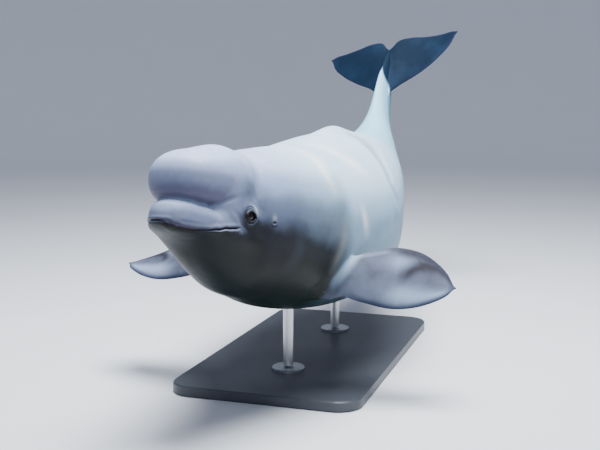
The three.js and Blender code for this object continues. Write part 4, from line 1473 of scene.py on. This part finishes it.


# %% [markdown]
# ## The skin's finish
# A grown beluga is white, but never one white: the head has a lilac cast, the tail a cold pale
# blue, the flukes' upper faces are slate. Shade is painted where the skin faces down, in folds and
# over the lips, and light in a few bright streaks. The colours are mixed from the marks on the
# mesh, with noise laid along the body so that it bends with it.

# %% The skin's finish
# the body's colours from head to tail, and the clouds over them
LILAC = (0.43, 0.525, 0.755)
WHITE = (0.54, 0.74, 0.90)
ICE = (0.34, 0.69, 0.87)
LILAC_CLOUD = (0.42, 0.44, 0.58)
FINE_CLOUD = (0.86, 0.88, 0.92)
# the colour of the painted light
PAINTED_LIGHT_WHITE = (0.97, 0.98, 0.93)
# the flippers and the flukes
FLIPPER_GREY = (0.055, 0.064, 0.095)
FLIPPER_PALE = (0.10, 0.118, 0.172)
# painted highlights on the flippers
FLIPPER_GLEAM = (0.29, 0.37, 0.53)
FLIPPER_BAND = (0.016, 0.014, 0.022)
SLATE = (0.002, 0.010, 0.026)
SLATE_CLOUD = (0.009, 0.028, 0.062)
FLUKE_BELOW = (0.12, 0.17, 0.24)
NAVY = (0.012, 0.018, 0.05)
# painted shade over the lips, in folds and slits, and the lids' rims with their painted shadow
LIP_DUSK = (0.045, 0.04, 0.05)
CREASE_SHADOW_BLUE = (0.13, 0.17, 0.24)
SLIT_SHADOW = (0.02, 0.012, 0.012)
RIM_AND_SHADOW_BLACK = (0.012, 0.009, 0.010)
# the base colour by a quarter of the distance from the snout, in metres
BODY_COLOURS = [(0.0, LILAC), (0.12, LILAC), (0.21, WHITE), (0.45, WHITE), (0.7, ICE), (1.0, ICE)]
# painted shade: how much of the colour is left where the skin faces down (0), sideways (0.5) and up
# (1)
MUZZLE_SHADE = [
    (0.0, (0.13, 0.11, 0.12)), (0.25, (0.22, 0.18, 0.21)), (0.5, (0.44, 0.43, 0.46)),
    (0.68, (0.66, 0.67, 0.69)), (0.86, (1.0, 1.0, 1.0)),
]
NECK_SHADE = [
    (0.0, (0.015, 0.021, 0.015)), (0.3, (0.026, 0.022, 0.015)), (0.42, (0.046, 0.040, 0.036)),
    (0.55, (0.29, 0.30, 0.32)), (0.7, (0.60, 0.64, 0.68)), (0.88, (1.0, 1.0, 1.0)),
]
FLANK_SHADE = [
    (0.0, (0.03, 0.042, 0.042)), (0.25, (0.11, 0.135, 0.14)), (0.45, (0.38, 0.44, 0.47)),
    (0.6, (0.75, 0.81, 0.86)), (0.75, (1.0, 1.0, 1.0)),
]


def skin_finish():
    """Smooth moist skin, lilac at the head and cold white behind, with painted shade where it faces
    down.
    """
    f = Finish("skin_finish", Specular_IOR_Level=0.12)
    body = f.place("body")
    s = f.part(body, 0)
    up = f.mark("upward")
    clouds = f.mottle(body, 5.0, detail=4.0)
    fine = f.mottle(body, 38.0, detail=5.0, rough=0.6)
    # the body's own colour, with large and small clouds
    tone = f.shades(s * 0.25, BODY_COLOURS)
    tone = f.mix(f.ramp(clouds, 0.38, 0.72, 0.2), tone, LILAC_CLOUD)
    tone = f.mix(f.ramp(fine, 0.45, 0.75, 0.14), tone, FINE_CLOUD)
    # painted shade: darker the farther it faces down, in another way at the muzzle, the neck and
    # the flank
    facing = (up + (clouds - 0.5) * 0.3) * 0.5 + 0.5 - f.mark("dusk") * 0.17
    shade = f.mix(f.ramp(s, 0.86, 1.0), f.shades(facing, NECK_SHADE), f.shades(facing, FLANK_SHADE))
    shade = f.mix(f.mark("muzzle"), shade, f.shades(facing, MUZZLE_SHADE))
    tone = f.mix(1.0, tone, shade, "MULTIPLY")
    # painted light: bright streaks and highlights
    tone = f.mix(f.mark("pale") * 0.75, tone, PAINTED_LIGHT_WHITE)
    # the flippers, with painted highlights
    flecks = f.mottle(body, 6.5, detail=3.0)
    patches = f.mix(f.ramp(flecks, 0.36, 0.68), FLIPPER_GREY, FLIPPER_PALE)
    patches = f.mix(f.mark("gleam") * 0.75, patches, FLIPPER_GLEAM)
    patches = f.mix(f.mark("band") * 0.92, patches, FLIPPER_BAND)
    tone = f.mix(f.mark("flipper"), tone, patches)
    # the flukes, slate above and grey below
    upper = f.ramp(up, -0.25, 0.2)
    slate = f.mix(f.ramp(clouds, 0.4, 0.7, 0.5), SLATE, SLATE_CLOUD)
    tone = f.mix(f.mark("fluke"), tone, f.mix(upper, FLUKE_BELOW, slate))
    # dark rims of the fins, and painted shade over the lips, in folds, round the eyes and in the
    # slits
    tone = f.mix(f.mark("margin") * 0.85, tone, NAVY)
    tone = f.mix(f.mark("lip_shade") * 0.5, tone, LIP_DUSK)
    tone = f.mix(f.mark("creases") * 0.4, tone, CREASE_SHADOW_BLUE)
    tone = f.mix(f.mark("eye_rim") * 0.95, tone, RIM_AND_SHADOW_BLACK)
    tone = f.mix(f.mark("slits"), tone, SLIT_SHADOW)
    grain = f.mottle(body, 240.0, detail=3.0)
    f.drive(
        Base_Color=tone,
        Roughness=0.40 + (fine - 0.5) * 0.22 + (grain - 0.5) * 0.10 + f.mark("fluke") * 0.3,
        Normal=f.bumped(grain * 0.4 + fine, 0.0012, 0.5),
    )
    return f.material


skin.data.materials.clear()
skin.data.materials.append(skin_finish())
print("skin finish has", len(skin.data.materials[0].node_tree.nodes), "nodes")

# %% [markdown]
# ## The eyes' finish
# The eye is nearly black, with a brown iris that shows only in a strong light and a wet gleam
# over it.

# %% The eyes' finish
PUPIL_BLACK = (0.002, 0.002, 0.003)
IRIS_DARK = (0.005, 0.003, 0.003)
IRIS_BROWN = (0.016, 0.009, 0.006)
WHITE_OF_EYE = (0.010, 0.007, 0.007)


def eye_finish():
    """A dark wet eye with a brown iris. Even the white of a beluga's eye is dark where it shows."""
    f = Finish("eye_finish", Roughness=0.12, IOR=1.34, Coat_Weight=0.15, Coat_Roughness=0.05)
    out = f.mark("from_axis")
    rays = f.mottle(f.stretched(f.place("spoke"), (9.0, 9.0, 1.5)), 1.0, detail=4.0)
    iris = f.mix(rays, IRIS_DARK, IRIS_BROWN)
    pupil_ends, iris_ends = IRIS["pupil"] / 90, IRIS["edge"] / 90
    tone = f.mix(f.ramp(out, pupil_ends, pupil_ends + 0.05), PUPIL_BLACK, iris)
    tone = f.mix(f.ramp(out, iris_ends, iris_ends + 0.12), tone, WHITE_OF_EYE)
    f.drive(Base_Color=tone)
    return f.material


glossy_eye = eye_finish()
for eye in eyes.values():
    eye.data.materials.append(glossy_eye)
print("eye finish is on", len(eyes), "eyes")

# %% [markdown]
# ## The stand's finishes
# The base is a hollow steel box with a dark satin paint, and the rods are brushed along their
# length. The plain solids already have the right shape, so they only get a better material.

# %% The stand's finishes
PAINT = (0.045, 0.052, 0.065)
DUST = (0.085, 0.092, 0.105)
STEEL = (0.47, 0.48, 0.50)
BRIGHT_STEEL = (0.62, 0.63, 0.65)


def base_finish():
    """Dark satin paint, slightly orange-peeled, with faint dust."""
    f = Finish("base_paint", Specular_IOR_Level=0.5)
    place = f.node("ShaderNodeTexCoord", output="Object")
    peel = f.mottle(place, 420.0, detail=2.0)
    dust = f.mottle(place, 2.2, detail=5.0)
    f.drive(
        Base_Color=f.mix(f.ramp(dust, 0.4, 0.75, 0.35), PAINT, DUST),
        Roughness=0.38 + (dust - 0.5) * 0.25,
        Normal=f.bumped(peel, 0.0003, 0.35),
    )
    return f.material


def rod_finish():
    """Steel brushed up and down."""
    f = Finish("rod_steel", Metallic=1.0)
    place = f.node("ShaderNodeTexCoord", output="Object")
    brush = f.mottle(f.stretched(place, (900.0, 900.0, 9.0)), 1.0, detail=3.0)
    f.drive(
        Base_Color=f.mix(brush, STEEL, BRIGHT_STEEL),
        Roughness=0.24 + brush * 0.2,
        Normal=f.bumped(brush, 0.0002, 0.3),
    )
    return f.material


def dress(node, material):
    """Puts a material on a node of the frame."""
    solid = frame["nodes"][node]
    for slot in solid.material_slots:
        slot.material = material


dress("stand_base", base_finish())
steel = rod_finish()
dress("stand_rod_front", steel)
dress("stand_rod_rear", steel)
print("stand dressed")

# %% [markdown]
# ## Floor and light
# A plain pale floor and one broad lamp overhead, as in a bright hall, with a weaker one from
# ahead. The sky colour fills the shadows a little. The floor runs up into a wall far away on all
# sides, so no horizon shows.

# %% Floor and light
# how far the floor is flat, how widely it curves up, and how high the wall is
HALL = {"flat": 13.0, "curve": 6.0, "height": 14.0}
HALL_RINGS = (0.02, 1.0, 3.0, 6.0, 9.0, HALL["flat"])
HALL_SIDES = 128
CURVE_STEPS = 16
FLOOR_TONE = (0.74, 0.76, 0.80)
FLOOR_SPECK = tuple(v * 1.04 for v in FLOOR_TONE)


def hall():
    """A round floor whose edge sweeps up into a wall."""
    flat, curve, n = HALL["flat"], HALL["curve"], HALL_SIDES
    profile = [(radius, 0.0) for radius in HALL_RINGS]
    for k in range(1, CURVE_STEPS + 1):
        a = math.pi / 2 * k / CURVE_STEPS
        profile.append((flat + curve * math.sin(a), curve * (1 - math.cos(a))))
    profile.append((flat + curve, HALL["height"]))
    turns = 2 * np.pi * np.arange(n) / n
    points = [(r * math.cos(a), r * math.sin(a), h) for r, h in profile for a in turns]
    faces = [tuple(range(n))]
    for i in range(len(profile) - 1):
        for j in range(n):
            k = (j + 1) % n
            faces.append((i * n + j, (i + 1) * n + j, (i + 1) * n + k, i * n + k))
    mesh = bpy.data.meshes.new("floor")
    mesh.from_pydata(points, [], faces)
    mesh.polygons.foreach_set("use_smooth", np.ones(len(mesh.polygons), bool))
    made = bpy.data.objects.new("floor", mesh)
    bpy.context.scene.collection.objects.link(made)
    f = Finish("floor_finish", Specular_IOR_Level=0.2)
    place = f.node("ShaderNodeTexCoord", output="Object")
    speck = f.mottle(place, 1.3, detail=6.0)
    f.drive(Base_Color=f.mix(speck, FLOOR_TONE, FLOOR_SPECK), Roughness=0.6 + speck * 0.1)
    mesh.materials.append(f.material)
    return made


floor = hall()
print("the floor has", len(floor.data.polygons), "faces")

# %% Lamps and sky
LAMPS = {
    "lamp_above": {
        "place": (0.5, -0.5, 6.0), "aim": (0, 0.2, 0.8), "size": 3.0, "power": 1080,
        "colour": (0.96, 0.985, 1.0),
    },
    "lamp_ahead": {
        "place": (3.2, -6.5, 3.2), "aim": (0, -0.8, 0.9), "size": 1.4, "power": 45,
        "colour": (0.86, 0.90, 1.0),
    },
}
SKY = {"colour": (0.62, 0.68, 0.85), "strength": 0.55}


def lamp(name, place, aim, size, power, colour):
    """A square soft lamp, not seen itself."""
    made = bpy.data.objects.new(name, bpy.data.lights.new(name, "AREA"))
    made.data.shape = "SQUARE"
    made.data.size = size
    made.data.energy = power
    made.data.color = colour
    made.location = place
    made.rotation_euler = (Vector(aim) - Vector(place)).to_track_quat("-Z", "Y").to_euler()
    made.visible_camera = False
    bpy.context.scene.collection.objects.link(made)


for name, values in LAMPS.items():
    lamp(name, **values)
world = bpy.data.worlds.new("hall_light")
world.use_nodes = True
sky = world.node_tree.nodes["Background"].inputs
sky["Color"].default_value = (*SKY["colour"], 1.0)
sky["Strength"].default_value = SKY["strength"]
bpy.context.scene.world = world
print(len(LAMPS), "lamps hang under the sky's light")

# %% [markdown]
# ## Handing the pieces to the frame
# The solids that the skin and the eyes take the place of are hidden, and each piece rides on the
# one rigid body.

# %% Handing the pieces to the frame
FLESH = (
    "head", "lower_jaw", "neck", "torso", "tail_stock",
    "flipper_left", "flipper_right", "fluke_left", "fluke_right",
)
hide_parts(*FLESH)
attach(skin, "root")
for name, eye in eyes.items():
    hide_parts(f"eye_{name}")
    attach(eye, "root")
